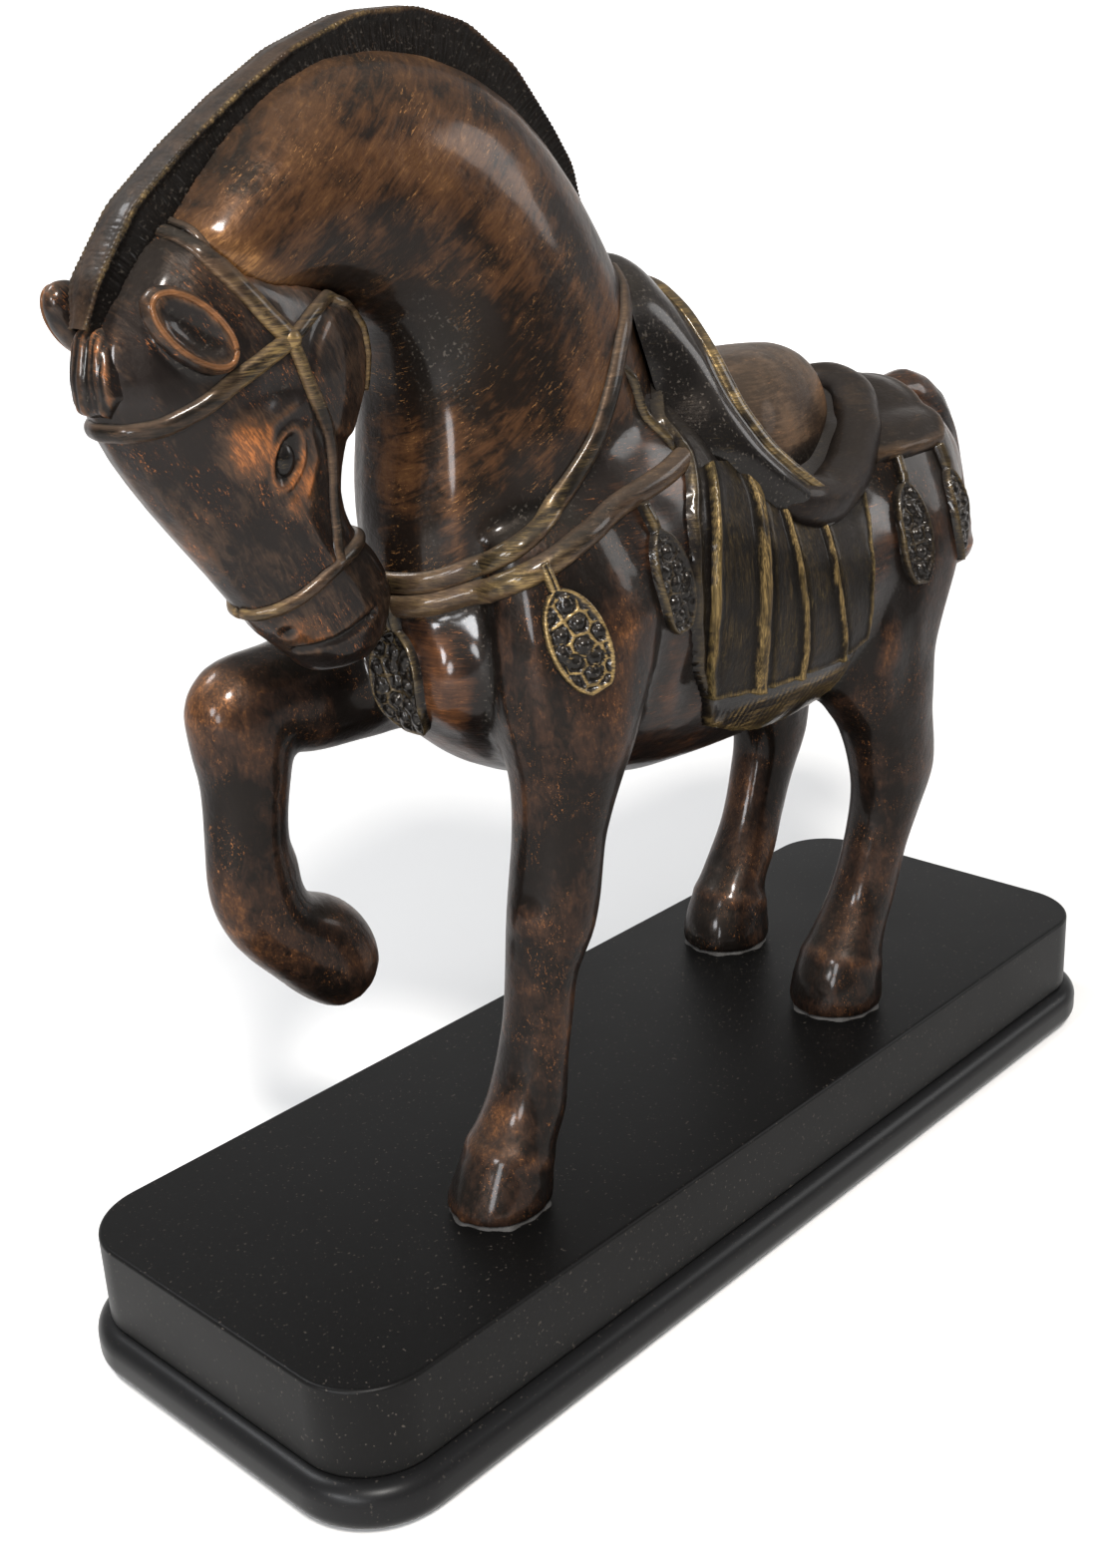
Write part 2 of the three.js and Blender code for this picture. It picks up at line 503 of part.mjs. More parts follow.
const CENTRE_PENDANT = { x: -65.3, z: 143.6, length: 22, width: 13, depth: 5, tilt: 0.06 };
const centre = pendant(CENTRE_PENDANT.length, CENTRE_PENDANT.width, 0, CENTRE_PENDANT.depth)
  .rotateZ(-Math.PI / 2)
  .rotateY(CENTRE_PENDANT.tilt)
  .translate(CENTRE_PENDANT.x, 0, CENTRE_PENDANT.z);
add('centre_pendant', solid(centre).subtract(grow(BODY, FIT)).subtract(behindPendants), DARK_BRONZE);
export default object;
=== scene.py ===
"""Looks for a bronze horse statuette: a cast, patinated horse in saddle and harness on a black plinth.

Lengths named below are in millimetres in the frame's own axes (the horse faces -X, its left side is -Y),
and MM turns them into metres. The horse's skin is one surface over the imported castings, softened and
modelled, then parted again where the castings part. Each harness piece is a patch cast onto that skin.
"""
import math

import bmesh
import bpy
import numpy as np
from mathutils import Matrix, Vector
from mathutils.bvhtree import BVHTree


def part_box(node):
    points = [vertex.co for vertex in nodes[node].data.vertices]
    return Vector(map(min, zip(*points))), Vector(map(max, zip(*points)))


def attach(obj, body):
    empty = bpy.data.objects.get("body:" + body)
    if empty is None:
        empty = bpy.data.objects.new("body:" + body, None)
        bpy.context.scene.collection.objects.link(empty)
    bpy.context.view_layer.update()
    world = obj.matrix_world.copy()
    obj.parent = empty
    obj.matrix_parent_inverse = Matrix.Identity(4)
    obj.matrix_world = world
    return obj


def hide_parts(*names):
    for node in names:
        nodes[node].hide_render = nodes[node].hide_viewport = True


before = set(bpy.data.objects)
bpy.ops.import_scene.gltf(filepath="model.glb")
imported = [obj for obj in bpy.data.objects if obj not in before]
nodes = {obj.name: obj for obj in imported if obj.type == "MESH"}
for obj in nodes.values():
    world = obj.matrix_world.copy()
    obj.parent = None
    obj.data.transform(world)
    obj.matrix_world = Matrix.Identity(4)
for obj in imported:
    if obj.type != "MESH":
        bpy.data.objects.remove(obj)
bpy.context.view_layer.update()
MM = 0.001
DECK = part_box("plinth_block")[1].z / MM


# ---- Small helpers ----
def ramp(value, low, high):
    """0 below low, 1 above high, smooth between."""
    t = np.clip((np.asarray(value, float) - low) / (high - low), 0, 1)
    return t * t * (3 - 2 * t)


def bump(points, centre, radius):
    """1 at the centre, fading to 0 at the radius."""
    distance = np.linalg.norm((points - centre) / radius, axis=-1)
    return 1 - ramp(distance, 0, 1)


def swollen(points, forms):
    """The sum of some bumps, each a centre, radii and an amount."""
    return sum(amount * bump(points, centre, radii) for centre, radii, amount in forms)


def bell(value, centre, width):
    """1 at the centre, fading smoothly to either side."""
    return np.exp(-(((value - centre) / width) ** 2))


def arc(t):
    """The height of a half circle from -1 to 1."""
    return np.sqrt(np.clip(1 - t * t, 0, 1))


def full_turn(count):
    """Even angles round a circle."""
    return np.linspace(0, 2 * math.pi, count, endpoint=False)


def line_distance(x, z, line):
    """Distance from points to a broken line in side view."""
    best = np.full(np.shape(x), 1e9)
    for (x0, z0), (x1, z1) in zip(line, line[1:]):
        dx, dz = x1 - x0, z1 - z0
        t = np.clip(((x - x0) * dx + (z - z0) * dz) / (dx * dx + dz * dz), 0, 1)
        best = np.minimum(best, np.hypot(x - x0 - t * dx, z - z0 - t * dz))
    return best


def inside(x, z, outline):
    """Distance to an outline's edge, positive inside it."""
    closed = list(outline) + [outline[0]]
    within = np.zeros(np.shape(x), bool)
    for (x0, z0), (x1, z1) in zip(closed, closed[1:]):
        crosses = (z0 > z) != (z1 > z)
        with np.errstate(divide="ignore", invalid="ignore"):
            within ^= crosses & (x < (x1 - x0) * (z - z0) / (z1 - z0 + 1e-12) + x0)
    return line_distance(x, z, closed) * np.where(within, 1, -1)


def along(line, count):
    """A smooth curve of count points through a broken line."""
    line = np.asarray(line, float)
    steps = np.linalg.norm(np.diff(line, axis=0), axis=1)
    where = np.concatenate([[0], np.cumsum(steps)])
    even = np.linspace(0, where[-1], count)
    curve = np.stack([np.interp(even, where, line[:, k]) for k in range(line.shape[1])], 1)
    for _ in range(max(2, count // 12)):
        curve[1:-1] = (curve[:-2] + 2 * curve[1:-1] + curve[2:]) / 4
    return curve


def make_object(name, points, faces, material, slot, node=None, **fields):
    """A mesh piece from points in millimetres, riding on the one body, in place of a CAD node if given."""
    mesh = bpy.data.meshes.new(name)
    mesh.from_pydata((np.reshape(points, (-1, 3)) * MM).tolist(), [], [list(map(int, f)) for f in faces])
    for key, values in fields.items():
        layer = mesh.attributes.new(key, "FLOAT", "POINT")
        layer.data.foreach_set("value", np.asarray(values, np.float32).ravel())
    mesh.materials.append(material)
    mesh.shade_smooth()
    piece = bpy.data.objects.new(name, mesh)
    bpy.context.scene.collection.objects.link(piece)
    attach(piece, "root")
    if node:
        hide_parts(node)
    return piece


def grid_faces(rows, columns, close_rows=False, close_columns=False):
    """Quads over a grid of points."""
    index = np.arange(rows * columns).reshape(rows, columns)
    if close_rows:
        index = np.concatenate([index, index[:1]], 0)
    if close_columns:
        index = np.concatenate([index, index[:, :1]], 1)
    return np.stack([index[:-1, :-1], index[:-1, 1:], index[1:, 1:], index[1:, :-1]], -1).reshape(-1, 4)


# ---- Skins over the castings ----
class Skin:
    """One closed surface over several CAD nodes, held as arrays in millimetres."""

    def __init__(self, parts, voxel, swell):
        joined = bmesh.new()
        for part in parts:
            casting = bmesh.new()
            casting.from_mesh(nodes[part].data)
            bmesh.ops.remove_doubles(casting, verts=casting.verts, dist=1e-6)
            casting.normal_update()
            for vertex in casting.verts:
                vertex.co += vertex.normal * swell * MM
            copy = bpy.data.meshes.new("copy")
            casting.to_mesh(copy)
            joined.from_mesh(copy)
            bpy.data.meshes.remove(copy)
            casting.free()
        mesh = bpy.data.meshes.new("joined")
        joined.to_mesh(mesh)
        joined.free()
        holder = bpy.data.objects.new("joined", mesh)
        bpy.context.scene.collection.objects.link(holder)
        remesh = holder.modifiers.new("remesh", "REMESH")
        remesh.mode = "VOXEL"
        remesh.voxel_size = voxel * MM
        fine = holder.evaluated_get(bpy.context.evaluated_depsgraph_get()).to_mesh()
        self.points = np.empty(len(fine.vertices) * 3)
        fine.vertices.foreach_get("co", self.points)
        self.points = self.points.reshape(-1, 3) / MM
        self.faces = np.array([list(f.vertices) for f in fine.polygons if len(f.vertices) == 4])
        bpy.data.objects.remove(holder)
        here = self.faces.ravel()
        there = np.roll(self.faces, -1, axis=1).ravel()
        self.near = np.concatenate([here, there])
        self.far = np.concatenate([there, here])
        self.count = np.maximum(np.bincount(self.near, minlength=len(self.points)), 1)

    def spread(self, values):
        """The mean of each point's neighbours."""
        flat = values.reshape(len(values), -1)
        size = len(self.points)
        sums = [np.bincount(self.near, flat[self.far, k], size) for k in range(flat.shape[1])]
        return (np.stack(sums, 1) / self.count[:, None]).reshape(values.shape)

    def smooth(self, rounds):
        for _ in range(rounds):
            self.points += (self.spread(self.points) - self.points) * 0.5

    def normals(self):
        corner = self.points[self.faces]
        face = np.cross(corner[:, 2] - corner[:, 0], corner[:, 3] - corner[:, 1])
        total = np.zeros_like(self.points)
        for k in range(4):
            for axis in range(3):
                total[:, axis] += np.bincount(self.faces[:, k], face[:, axis], len(self.points))
        return total / np.maximum(np.linalg.norm(total, axis=1), 1e-12)[:, None]

    def push(self, heights):
        """Moves the surface out along its normals."""
        self.points += self.normals() * np.asarray(heights)[:, None]

    def swellings(self):
        """How far each point stands out from its surroundings, about -1 in grooves to 1 on ridges."""
        normals = self.normals()
        wide = self.points.copy()
        for _ in range(12):
            wide = self.spread(wide)
        return np.clip(np.einsum("ij,ij->i", self.points - wide, normals) / 0.35, -1, 1)

    def tree(self):
        return BVHTree.FromPolygons(self.points.tolist(), self.faces.tolist())


# ---- Materials ----
class Nodes:
    """A short way to build one material's node tree."""

    def __init__(self, name):
        self.material = bpy.data.materials.new(name)
        self.material.use_nodes = True
        self.tree = self.material.node_tree
        self.shader = self.tree.nodes["Principled BSDF"]
        self.place = self.add("ShaderNodeTexCoord").outputs["Object"]

    def add(self, kind, sockets=(), **settings):
        node = self.tree.nodes.new(kind)
        for key, value in settings.items():
            setattr(node, key, value)
        self.feed(node, sockets)
        return node

    def feed(self, node, sockets):
        """Puts a number, a colour or another node's output on each named input."""
        for key, value in dict(sockets).items():
            if isinstance(value, bpy.types.NodeSocket):
                self.tree.links.new(value, node.inputs[key])
            else:
                node.inputs[key].default_value = value

    def math(self, operation, a, b, clamp):
        return self.add("ShaderNodeMath", {0: a, 1: b}, operation=operation, use_clamp=clamp).outputs[0]

    def plus(self, a, b, clamp=False):
        return self.math("ADD", a, b, clamp)

    def times(self, a, b, clamp=False):
        return self.math("MULTIPLY", a, b, clamp)

    def grain(self, scale, slant):
        """The place, turned about Y by slant and then scaled."""
        sockets = {"Vector": self.place, "Angle": slant}
        turned = self.add("ShaderNodeVectorRotate", sockets, rotation_type="Y_AXIS").outputs[0]
        return self.add("ShaderNodeVectorMath", {0: turned, 1: scale}, operation="MULTIPLY").outputs[0]

    def noise(self, scale, detail=4.0, roughness=0.55, vector=None, distortion=0.0):
        sockets = {"Vector": vector or self.place, "Scale": scale, "Detail": detail, "Roughness": roughness,
                   "Distortion": distortion}
        return self.add("ShaderNodeTexNoise", sockets).outputs["Fac"]

    def window(self, value, low, high):
        """0 to 1 as a value goes from low to high."""
        sockets = {"Value": value, "From Min": low, "From Max": high}
        return self.add("ShaderNodeMapRange", sockets, interpolation_type="SMOOTHSTEP").outputs["Result"]

    def blend(self, amount, a, b):
        """A mix of two colours, each three numbers or another node's output."""
        a, b = ((*colour, 1) if isinstance(colour, tuple) else colour for colour in (a, b))
        sockets = {"Factor": amount, "A": a, "B": b}
        return self.add("ShaderNodeMix", sockets, data_type="RGBA").outputs["Result"]

    def field(self, name):
        return self.add("ShaderNodeAttribute", attribute_name=name).outputs["Fac"]

    def bumps(self, height, distance, strength, under=None):
        sockets = {"Height": height, "Distance": distance * MM, "Strength": strength}
        if under:
            sockets["Normal"] = under
        return self.add("ShaderNodeBump", sockets).outputs["Normal"]


GOLD = (0.23, 0.155, 0.062)
DUST = (0.17, 0.145, 0.12)
BLACK = (0.004, 0.0035, 0.003)


def patina(name, dark, middle, worn, wear=0.0, dust=0.2, stroke=(110, 110, 1100), slant=0.0, rough=0.38,
           gloss=0.2):
    """Cast bronze: black in the hollows, brown between, rubbed to orange-brown or gold on what stands out.

    The fields worn and gilt, made with each mesh, say where it stands out and where the gold was laid on. The
    seat's worn field also holds a painted highlight, and the blanket's gold stops short to leave a painted
    shadow under the skirts.
    """
    n = Nodes(name)
    stands = n.field("worn")
    strokes = n.noise(1.0, 5, 0.7, n.grain(stroke, slant), 0.9)
    scratches = n.noise(1.0, 3, 0.6, n.grain([2.7 * s for s in stroke], slant), 0.6)
    amount = n.plus(n.times(n.noise(60, 5, 0.65), 1.25), n.times(n.plus(strokes, -0.5), 0.8))
    amount = n.plus(n.plus(amount, n.times(stands, 0.42)), wear - 0.62, clamp=True)
    colour = n.blend(n.window(amount, 0.02, 0.32), dark, middle)
    brushed = n.plus(n.times(n.window(scratches, 0.44, 0.62), 0.7), 0.3)
    colour = n.blend(n.times(n.window(amount, 0.22, 0.80), brushed), colour, worn)
    flecks = n.window(n.noise(1.0, 3, 0.75, n.grain([3.4 * s for s in stroke], slant), 1.2), 0.60, 0.67)
    flecks = n.times(flecks, n.window(n.noise(130, 2, 0.5), 0.46, 0.60))
    colour = n.blend(n.times(flecks, 0.8), colour, worn)
    laid = n.window(n.plus(strokes, n.times(stands, 0.25)), 0.40, 0.66)
    laid = n.times(laid, n.window(n.noise(110, 3, 0.6), 0.34, 0.58))
    gilt = n.times(n.field("gilt"), n.times(laid, brushed), clamp=True)
    colour = n.blend(gilt, colour, GOLD)
    hollow = n.window(stands, -0.10, -0.7)
    colour = n.blend(n.times(hollow, 0.9), colour, BLACK)
    normal = n.add("ShaderNodeSeparateXYZ", {0: n.add("ShaderNodeNewGeometry").outputs["Normal"]})
    up = n.window(normal.outputs["Z"], 0.2, 0.95)
    specks = n.window(n.noise(1500, 2, 0.5), 0.60, 0.70)
    settled = n.times(specks, n.plus(hollow, n.times(up, 0.3)), clamp=True)
    dusty = n.times(n.plus(settled, n.times(up, 0.40), clamp=True), dust)
    roughness = n.plus(n.times(n.noise(260, 4, 0.6), 0.26), rough - 0.13)
    uneven = n.bumps(n.noise(150, 3, 0.5), 0.8, 0.45)
    brushing = n.bumps(strokes, 0.12, 0.7, uneven)
    n.feed(n.shader, {
        "Base Color": n.blend(dusty, colour, DUST),
        "Metallic": n.plus(n.times(gilt, 0.45), 0.3),
        "Roughness": n.plus(roughness, n.times(dusty, 0.35), clamp=True),
        "Normal": n.bumps(n.noise(800, 3, 0.6), 0.12, 0.6, brushing),
        "Specular IOR Level": 0.14,
        "Specular Tint": (0.50, 0.40, 0.33, 1),
        "Coat Weight": gloss,
        "Coat Roughness": 0.12,
    })
    return n.material


SKIN = patina("patina_skin", (0.005, 0.0035, 0.003), (0.030, 0.013, 0.0065), (0.19, 0.070, 0.022),
              wear=-0.02, gloss=0.32)
LEG = patina("patina_leg", (0.004, 0.003, 0.0025), (0.019, 0.0100, 0.0065), (0.18, 0.072, 0.024), wear=-0.13,
             stroke=(640, 640, 300), slant=0.15, gloss=0.16)
NECK = patina("patina_neck", (0.006, 0.004, 0.003), (0.040, 0.018, 0.008), (0.19, 0.092, 0.033), wear=0.03,
              stroke=(170, 170, 900), slant=0.7)
FACE = patina("patina_face", (0.006, 0.0045, 0.004), (0.032, 0.019, 0.012), (0.26, 0.090, 0.027),
              stroke=(200, 200, 1100), slant=-1.03, gloss=0.24)
CLOTH = patina("patina_cloth", (0.0035, 0.003, 0.003), (0.009, 0.007, 0.005), (0.07, 0.052, 0.026),
               wear=-0.12, dust=0.3, rough=0.34, gloss=0.3)
BRUSHED = patina("patina_brushed", (0.003, 0.0025, 0.002), (0.008, 0.0058, 0.003), (0.11, 0.080, 0.030),
                 wear=0.02, stroke=(1300, 1300, 70), dust=0.03, gloss=0.05)
STRAP = patina("patina_strap", (0.006, 0.005, 0.004), (0.032, 0.020, 0.013), (0.13, 0.080, 0.045), wear=0.03,
               dust=0.35)
SADDLE = patina("patina_saddle", (0.006, 0.0045, 0.004), (0.022, 0.014, 0.009), (0.075, 0.045, 0.025),
                wear=0.02, dust=0.2, rough=0.46, gloss=0.08)
SEAT = patina("patina_seat", (0.026, 0.016, 0.010), (0.070, 0.043, 0.026), (0.20, 0.105, 0.052), wear=0.10,
              dust=0.35, rough=0.5, gloss=0.04)
MANE = patina("patina_mane", (0.0035, 0.003, 0.003), (0.022, 0.013, 0.008), (0.070, 0.043, 0.028), wear=0.03,
              stroke=(420, 420, 420), rough=0.5, gloss=0.08)
RIM = patina("patina_rim", (0.012, 0.007, 0.004), (0.085, 0.037, 0.015), (0.24, 0.10, 0.038), wear=-0.05)


def lacquer(name, colour, rough, specks):
    """Satin black lacquer with a little settled dust."""
    n = Nodes(name)
    dust = n.times(n.window(n.noise(1500, 1, 0.4), 0.70, 0.76), specks)
    n.feed(n.shader, {
        "Base Color": n.blend(dust, colour, DUST),
        "Roughness": n.plus(n.times(n.noise(18, 4, 0.6), 0.14), rough - 0.07),
        "Normal": n.bumps(n.noise(900, 2, 0.5), 0.03, 0.25),
        "Specular IOR Level": 0.10,
    })
    return n.material


def plain(name, colour, rough, metal, grain):
    """A quiet material with a fine mottled grain."""
    n = Nodes(name)
    n.feed(n.shader, {
        "Base Color": n.blend(n.noise(grain, 4, 0.6), tuple(0.6 * c for c in colour), colour),
        "Roughness": rough,
        "Metallic": metal,
        "Normal": n.bumps(n.noise(grain * 2, 3, 0.6), 0.1, 0.5),
    })
    return n.material


BLOCK = lacquer("lacquer_block", (0.0026, 0.0025, 0.0024), 0.42, 0.2)
MOULDING = lacquer("lacquer_moulding", (0.0060, 0.0060, 0.0062), 0.33, 0.1)
FELT = plain("felt", (0.012, 0.012, 0.012), 0.95, 0.0, 1800)
STEEL = plain("zinc_steel", (0.5, 0.5, 0.52), 0.35, 1.0, 900)
GLUE = plain("glue_bead", (0.016, 0.014, 0.012), 0.7, 0.0, 700)


def use(node, material):
    """A better finish on a CAD node whose shape is right."""
    mesh = nodes[node].data
    mesh.materials.clear()
    mesh.materials.append(material)


# ---- The horse's skin ----
# Soft forms on the left and right alike: centre, radii, and how far they stand out.
FORMS = [
    ((-34, -31, 146), (16, 14, 20), 1.3),  # shoulder blade
    ((-44, -31, 124), (11, 10, 12), 0.9),  # point of the shoulder
    ((-17, -33, 126), (6, 12, 18), -1.0),  # hollow behind the shoulder
    ((-66, 0, 133), (5, 4, 16), -1.6),  # furrow down the chest
    ((-62, -11, 131), (9, 8, 13), 1.3),  # breast
    ((44, -32, 118), (10, 12, 14), 1.2),  # stifle
    ((70, -31, 132), (18, 12, 22), 1.3),  # thigh
    ((58, -33, 106), (10, 10, 12), 0.8),  # gaskin
    ((-40, -21, 178), (22, 10, 12), 0.8),  # neck muscle
    ((-60, -19, 168), (8, 12, 20), 0.8),  # windpipe's side
]
LEG_FORMS = [
    ((-59, -21, 89), (6, 9, 6), 0.9),  # left knee
    ((-53, -21, 80), (5, 4, 5), -0.6),
    ((-52, -19, 55), (5, 7, 5), 0.9),  # left fetlock
    ((-94, 19, 133), (7, 10, 8), 0.9),  # right knee
    ((-80, 19, 100), (6, 8, 6), 0.8),  # right fetlock
    ((73, -25, 88), (5, 6, 7), 0.9),  # left hock
    ((59, -24, 62), (5, 7, 6), 0.8),
    ((85, 21, 84), (5, 6, 7), 0.9),  # right hock
    ((73, 20, 61), (5, 7, 6), 0.8),
]
# Centres of the standing hooves.
HOOVES = [(-66, -18.2), (42.5, -21.8), (53.5, 19.2)]
HOOF_REACH = 18  # round the centre of a standing hoof
CORONET = 11  # height of the coronet over the deck
# Places rubbed back to warm bronze, on both sides, and a few made black: centre, radii and how far.
RUBBED = [
    ((-45, -32, 140), (17, 14, 17), 1.0),  # shoulder
    ((-52, -22, 113), (10, 14, 18), 0.7),  # forearm
    ((-33, -21, 180), (14, 12, 13), 0.7),  # base of the neck
    ((-55, -16, 222), (22, 14, 14), 0.5),  # crest
    ((-96, -19, 136), (9, 14, 11), 0.4),  # raised knee
    ((-66, -18, 48), (8, 14, 9), 1.0),  # pastern
    ((64, -32, 128), (16, 14, 18), 0.5),  # thigh
    ((-102, -11.5, 184), (8, 7, 8), 1.5),  # brow
    ((-92, -12, 176), (5, 6, 9), 1.1),  # cheekbone
    ((-106, 0, 172), (6, 6, 14), 0.8),  # nose
    ((-119, 0, 197), (6, 5, 7), 0.9),  # forehead
    ((-90, -6, 149), (7, 6, 6), 0.7),  # muzzle
    ((-75, -11, 191), (10, 8, 12), 0.7),  # jowl
    ((-60, -12, 192), (14, 16, 20), -0.7),  # the neck under the jowl, made black
    ((-66, -8, 160), (10, 14, 20), -0.7),  # throat, made black
    ((-66, -18, 33), (17, 16, 11), -1.2),  # hooves
    ((42.5, -22, 33), (17, 16, 11), -1.2),
    ((53.5, -19, 33), (17, 16, 11), -1.2),
    ((-62, -19, 103), (18, 14, 7), -1.1),  # the raised hoof
    ((-72, -19, 70), (9, 14, 12), -0.5),
]


def left_side(points):
    """The points brought over to the horse's left side."""
    return points * np.where(points[:, 1:2] > 0, [1, -1, 1], [1, 1, 1])


def wear_of(skin):
    """How far each point of a skin is rubbed bright, from its shape and the places that are touched."""
    return np.clip(skin.swellings() + swollen(left_side(skin.points), RUBBED), -1, 1.7)


def part_skin(skin, parts, material):
    """Cuts a skin back into pieces, one for each casting, that share their normals along the cuts."""
    centres = skin.points[skin.faces].mean(1)
    nearest = np.full(len(centres), 1e9)
    owner = np.zeros(len(centres), int)
    for i, part in enumerate(parts):
        mesh = nodes[part].data
        corners = [(v.co / MM)[:] for v in mesh.vertices]
        tree = BVHTree.FromPolygons(corners, [list(f.vertices) for f in mesh.polygons])
        for k, centre in enumerate(centres.tolist()):
            distance = tree.find_nearest(centre, max(nearest[k], 0.01) + 0.01)[3]
            if distance is not None and distance < nearest[k] - 0.02:
                nearest[k] = distance
                owner[k] = i
    normals = skin.normals()
    worn = wear_of(skin)
    for i, part in enumerate(parts):
        used, index = np.unique(skin.faces[owner == i], return_inverse=True)
        piece = make_object(part + "_skin", skin.points[used], index.reshape(-1, 4), material, "bronze", part,
                            worn=worn[used], gilt=np.zeros(len(used)))
        piece.data.normals_split_custom_set_from_vertices(normals[used].tolist())


def model_body(body):
    heights = swollen(left_side(body.points), FORMS) + swollen(body.points, LEG_FORMS)
    for x, y in HOOVES:
        near = np.hypot(body.points[:, 0] - x, body.points[:, 1] - y) < HOOF_REACH
        level = body.points[:, 2] - DECK - CORONET + 0.35 * (body.points[:, 0] - x)
        heights += 0.35 * near * bell(level, 1.2, 1.8)
    body.push(heights)
    body.smooth(2)
    body.points[:, 2] = np.maximum(body.points[:, 2], DECK + 0.1)


BODY = ["torso", "neck", "left_foreleg", "right_foreleg", "left_hind_leg", "right_hind_leg"]
body = Skin(BODY, voxel=1.0, swell=0.45)
body.smooth(14)
model_body(body)
body_tree = body.tree()
part_skin(body, BODY, SKIN)
bpy.data.objects["neck_skin"].data.materials[0] = NECK
for leg in BODY[2:]:
    bpy.data.objects[leg + "_skin"].data.materials[0] = LEG


def model_tail(tail):
    """Long shallow locks that follow the tail's curve."""
    x, y, z = tail.points.T
    down = line_distance(x, z, [(90, 160), (107, 164), (116, 152), (121, 128)])
    locks = np.sin(1.9 * y + 0.05 * z) * np.sin(1.1 * down + 0.3 * y)
    tail.push(0.22 * locks * ramp(x, 104, 114))


tail = Skin(["tail"], voxel=0.7, swell=0.3)
tail.smooth(12)
model_tail(tail)
part_skin(tail, ["tail"], SKIN)


# ---- Head ----
EYE = (-95.3, 180.8)


def almond(x, z):
    """Under 1 inside the eye's lids, 1 along them."""
    u = (z - EYE[1]) * 0.96 + (x - EYE[0]) * 0.28
    v = (x - EYE[0]) * 0.96 - (z - EYE[1]) * 0.28
    return np.abs(u / 4.9) ** 1.6 + np.abs(v / 3.1) ** 1.9


HEAD_FORMS = [
    ((-101.5, -12, 184), (5.5, 6, 7), 0.9),  # brow
    ((-96, -13.5, 191.5), (6, 6, 4), -0.8),
    ((-99, -11.5, 171), (5, 6, 10), -0.7),
    ((-92.5, -6.5, 151), (5, 5, 5), 0.9),  # nostril
    ((-93.3, -6.2, 150.2), (2.1, 3, 2.6), -1.7),
    ((-84, 0, 143.5), (5, 6, 3), 0.7),  # chin
]
LID_FOLD = [(-100, 179), (-98.5, 186.5), (-93.5, 189)]
LID_CORNER = [(-91, 185), (-89, 180), (-91, 175)]
CHEEKBONE = [(-94, 173), (-89, 166), (-86, 162)]
MOUTH = [(-93, 146), (-85, 147.8), (-77, 151)]


def model_head(head):
    x, y, z = head.points.T
    side = ramp(np.abs(y), 5, 8.5)
    lids = almond(x, z)
    heights = swollen(left_side(head.points), HEAD_FORMS)
    heights += 0.5 * bell(lids, 1.0, 0.34) * side - 0.6 * ramp(lids, 0.85, 0.5) * side
    for line, amount, width in (LID_FOLD, 0.35, 1.1), (LID_CORNER, 0.35, 0.9), (CHEEKBONE, 0.6, 1.6):
        heights += amount * bell(line_distance(x, z, line), 0, width) * side
    heights += 0.7 * ramp(np.hypot(x + 79, z - 192), 11.5, 9.5) * side  # round of the jaw
    heights -= 0.8 * bell(line_distance(x, z, MOUTH), 0, 0.7) * ramp(np.abs(y), 1.5, 3.5)
    head.push(heights)
    head.smooth(1)


HEAD = ["head", "left_ear", "right_ear"]
head = Skin(HEAD, voxel=0.45, swell=0.25)
head.smooth(12)
model_head(head)
part_skin(head, HEAD, FACE)


def joined_tree(*skins):
    """One search tree over several skins."""
    points = np.concatenate([skin.points for skin in skins])
    starts = np.cumsum([0] + [len(skin.points) for skin in skins])
    faces = np.concatenate([skin.faces + start for skin, start in zip(skins, starts)])
    return BVHTree.FromPolygons(points.tolist(), faces.tolist())


horse_tree = joined_tree(body, head)


# ---- Patches cast onto a skin ----
def cast(tree, origins, directions):
    """Where rays meet a skin, and the skin's normals there. A ray that misses takes the nearest point."""
    points = np.empty_like(origins)
    normals = np.empty_like(origins)
    for i, (origin, direction) in enumerate(zip(origins.tolist(), directions.tolist())):
        hit, normal = tree.ray_cast(origin, direction)[:2]
        if hit is None:
            hit, normal = tree.find_nearest(origin)[:2]
        points[i] = hit
        normals[i] = normal
    return points, normals


def soften(grid, rounds):
    """Averages a grid of vectors with their neighbours."""
    for _ in range(rounds):
        padded = np.pad(grid, ((1, 1), (1, 1), (0, 0)), "edge")
        grid = (padded[:-2, 1:-1] + padded[2:, 1:-1] + padded[1:-1, :-2] + padded[1:-1, 2:] + 2 * grid) / 6
    return grid


def unit(vectors):
    return vectors / np.maximum(np.linalg.norm(vectors, axis=-1, keepdims=True), 1e-9)


def draped(line, count, tree):
    """A smooth line of points on a skin, near a broken line in space, and the skin's normals there."""
    guesses = along(line, count)
    points = np.empty_like(guesses)
    normals = np.empty_like(guesses)
    for i, guess in enumerate(guesses.tolist()):
        points[i], normals[i] = tree.find_nearest(guess)[:2]
    for _ in range(8):
        points[1:-1] = (points[:-2] + 2 * points[1:-1] + points[2:]) / 4
        normals[1:-1] = (normals[:-2] + 2 * normals[1:-1] + normals[2:]) / 4
    return points, unit(normals)


SUNK = -0.6  # where an edge lies, under the skin that it is cast onto
ACROSS = 13  # points across a strap
STRAP_RAY = 6  # how far over the skin the rays of a strap start


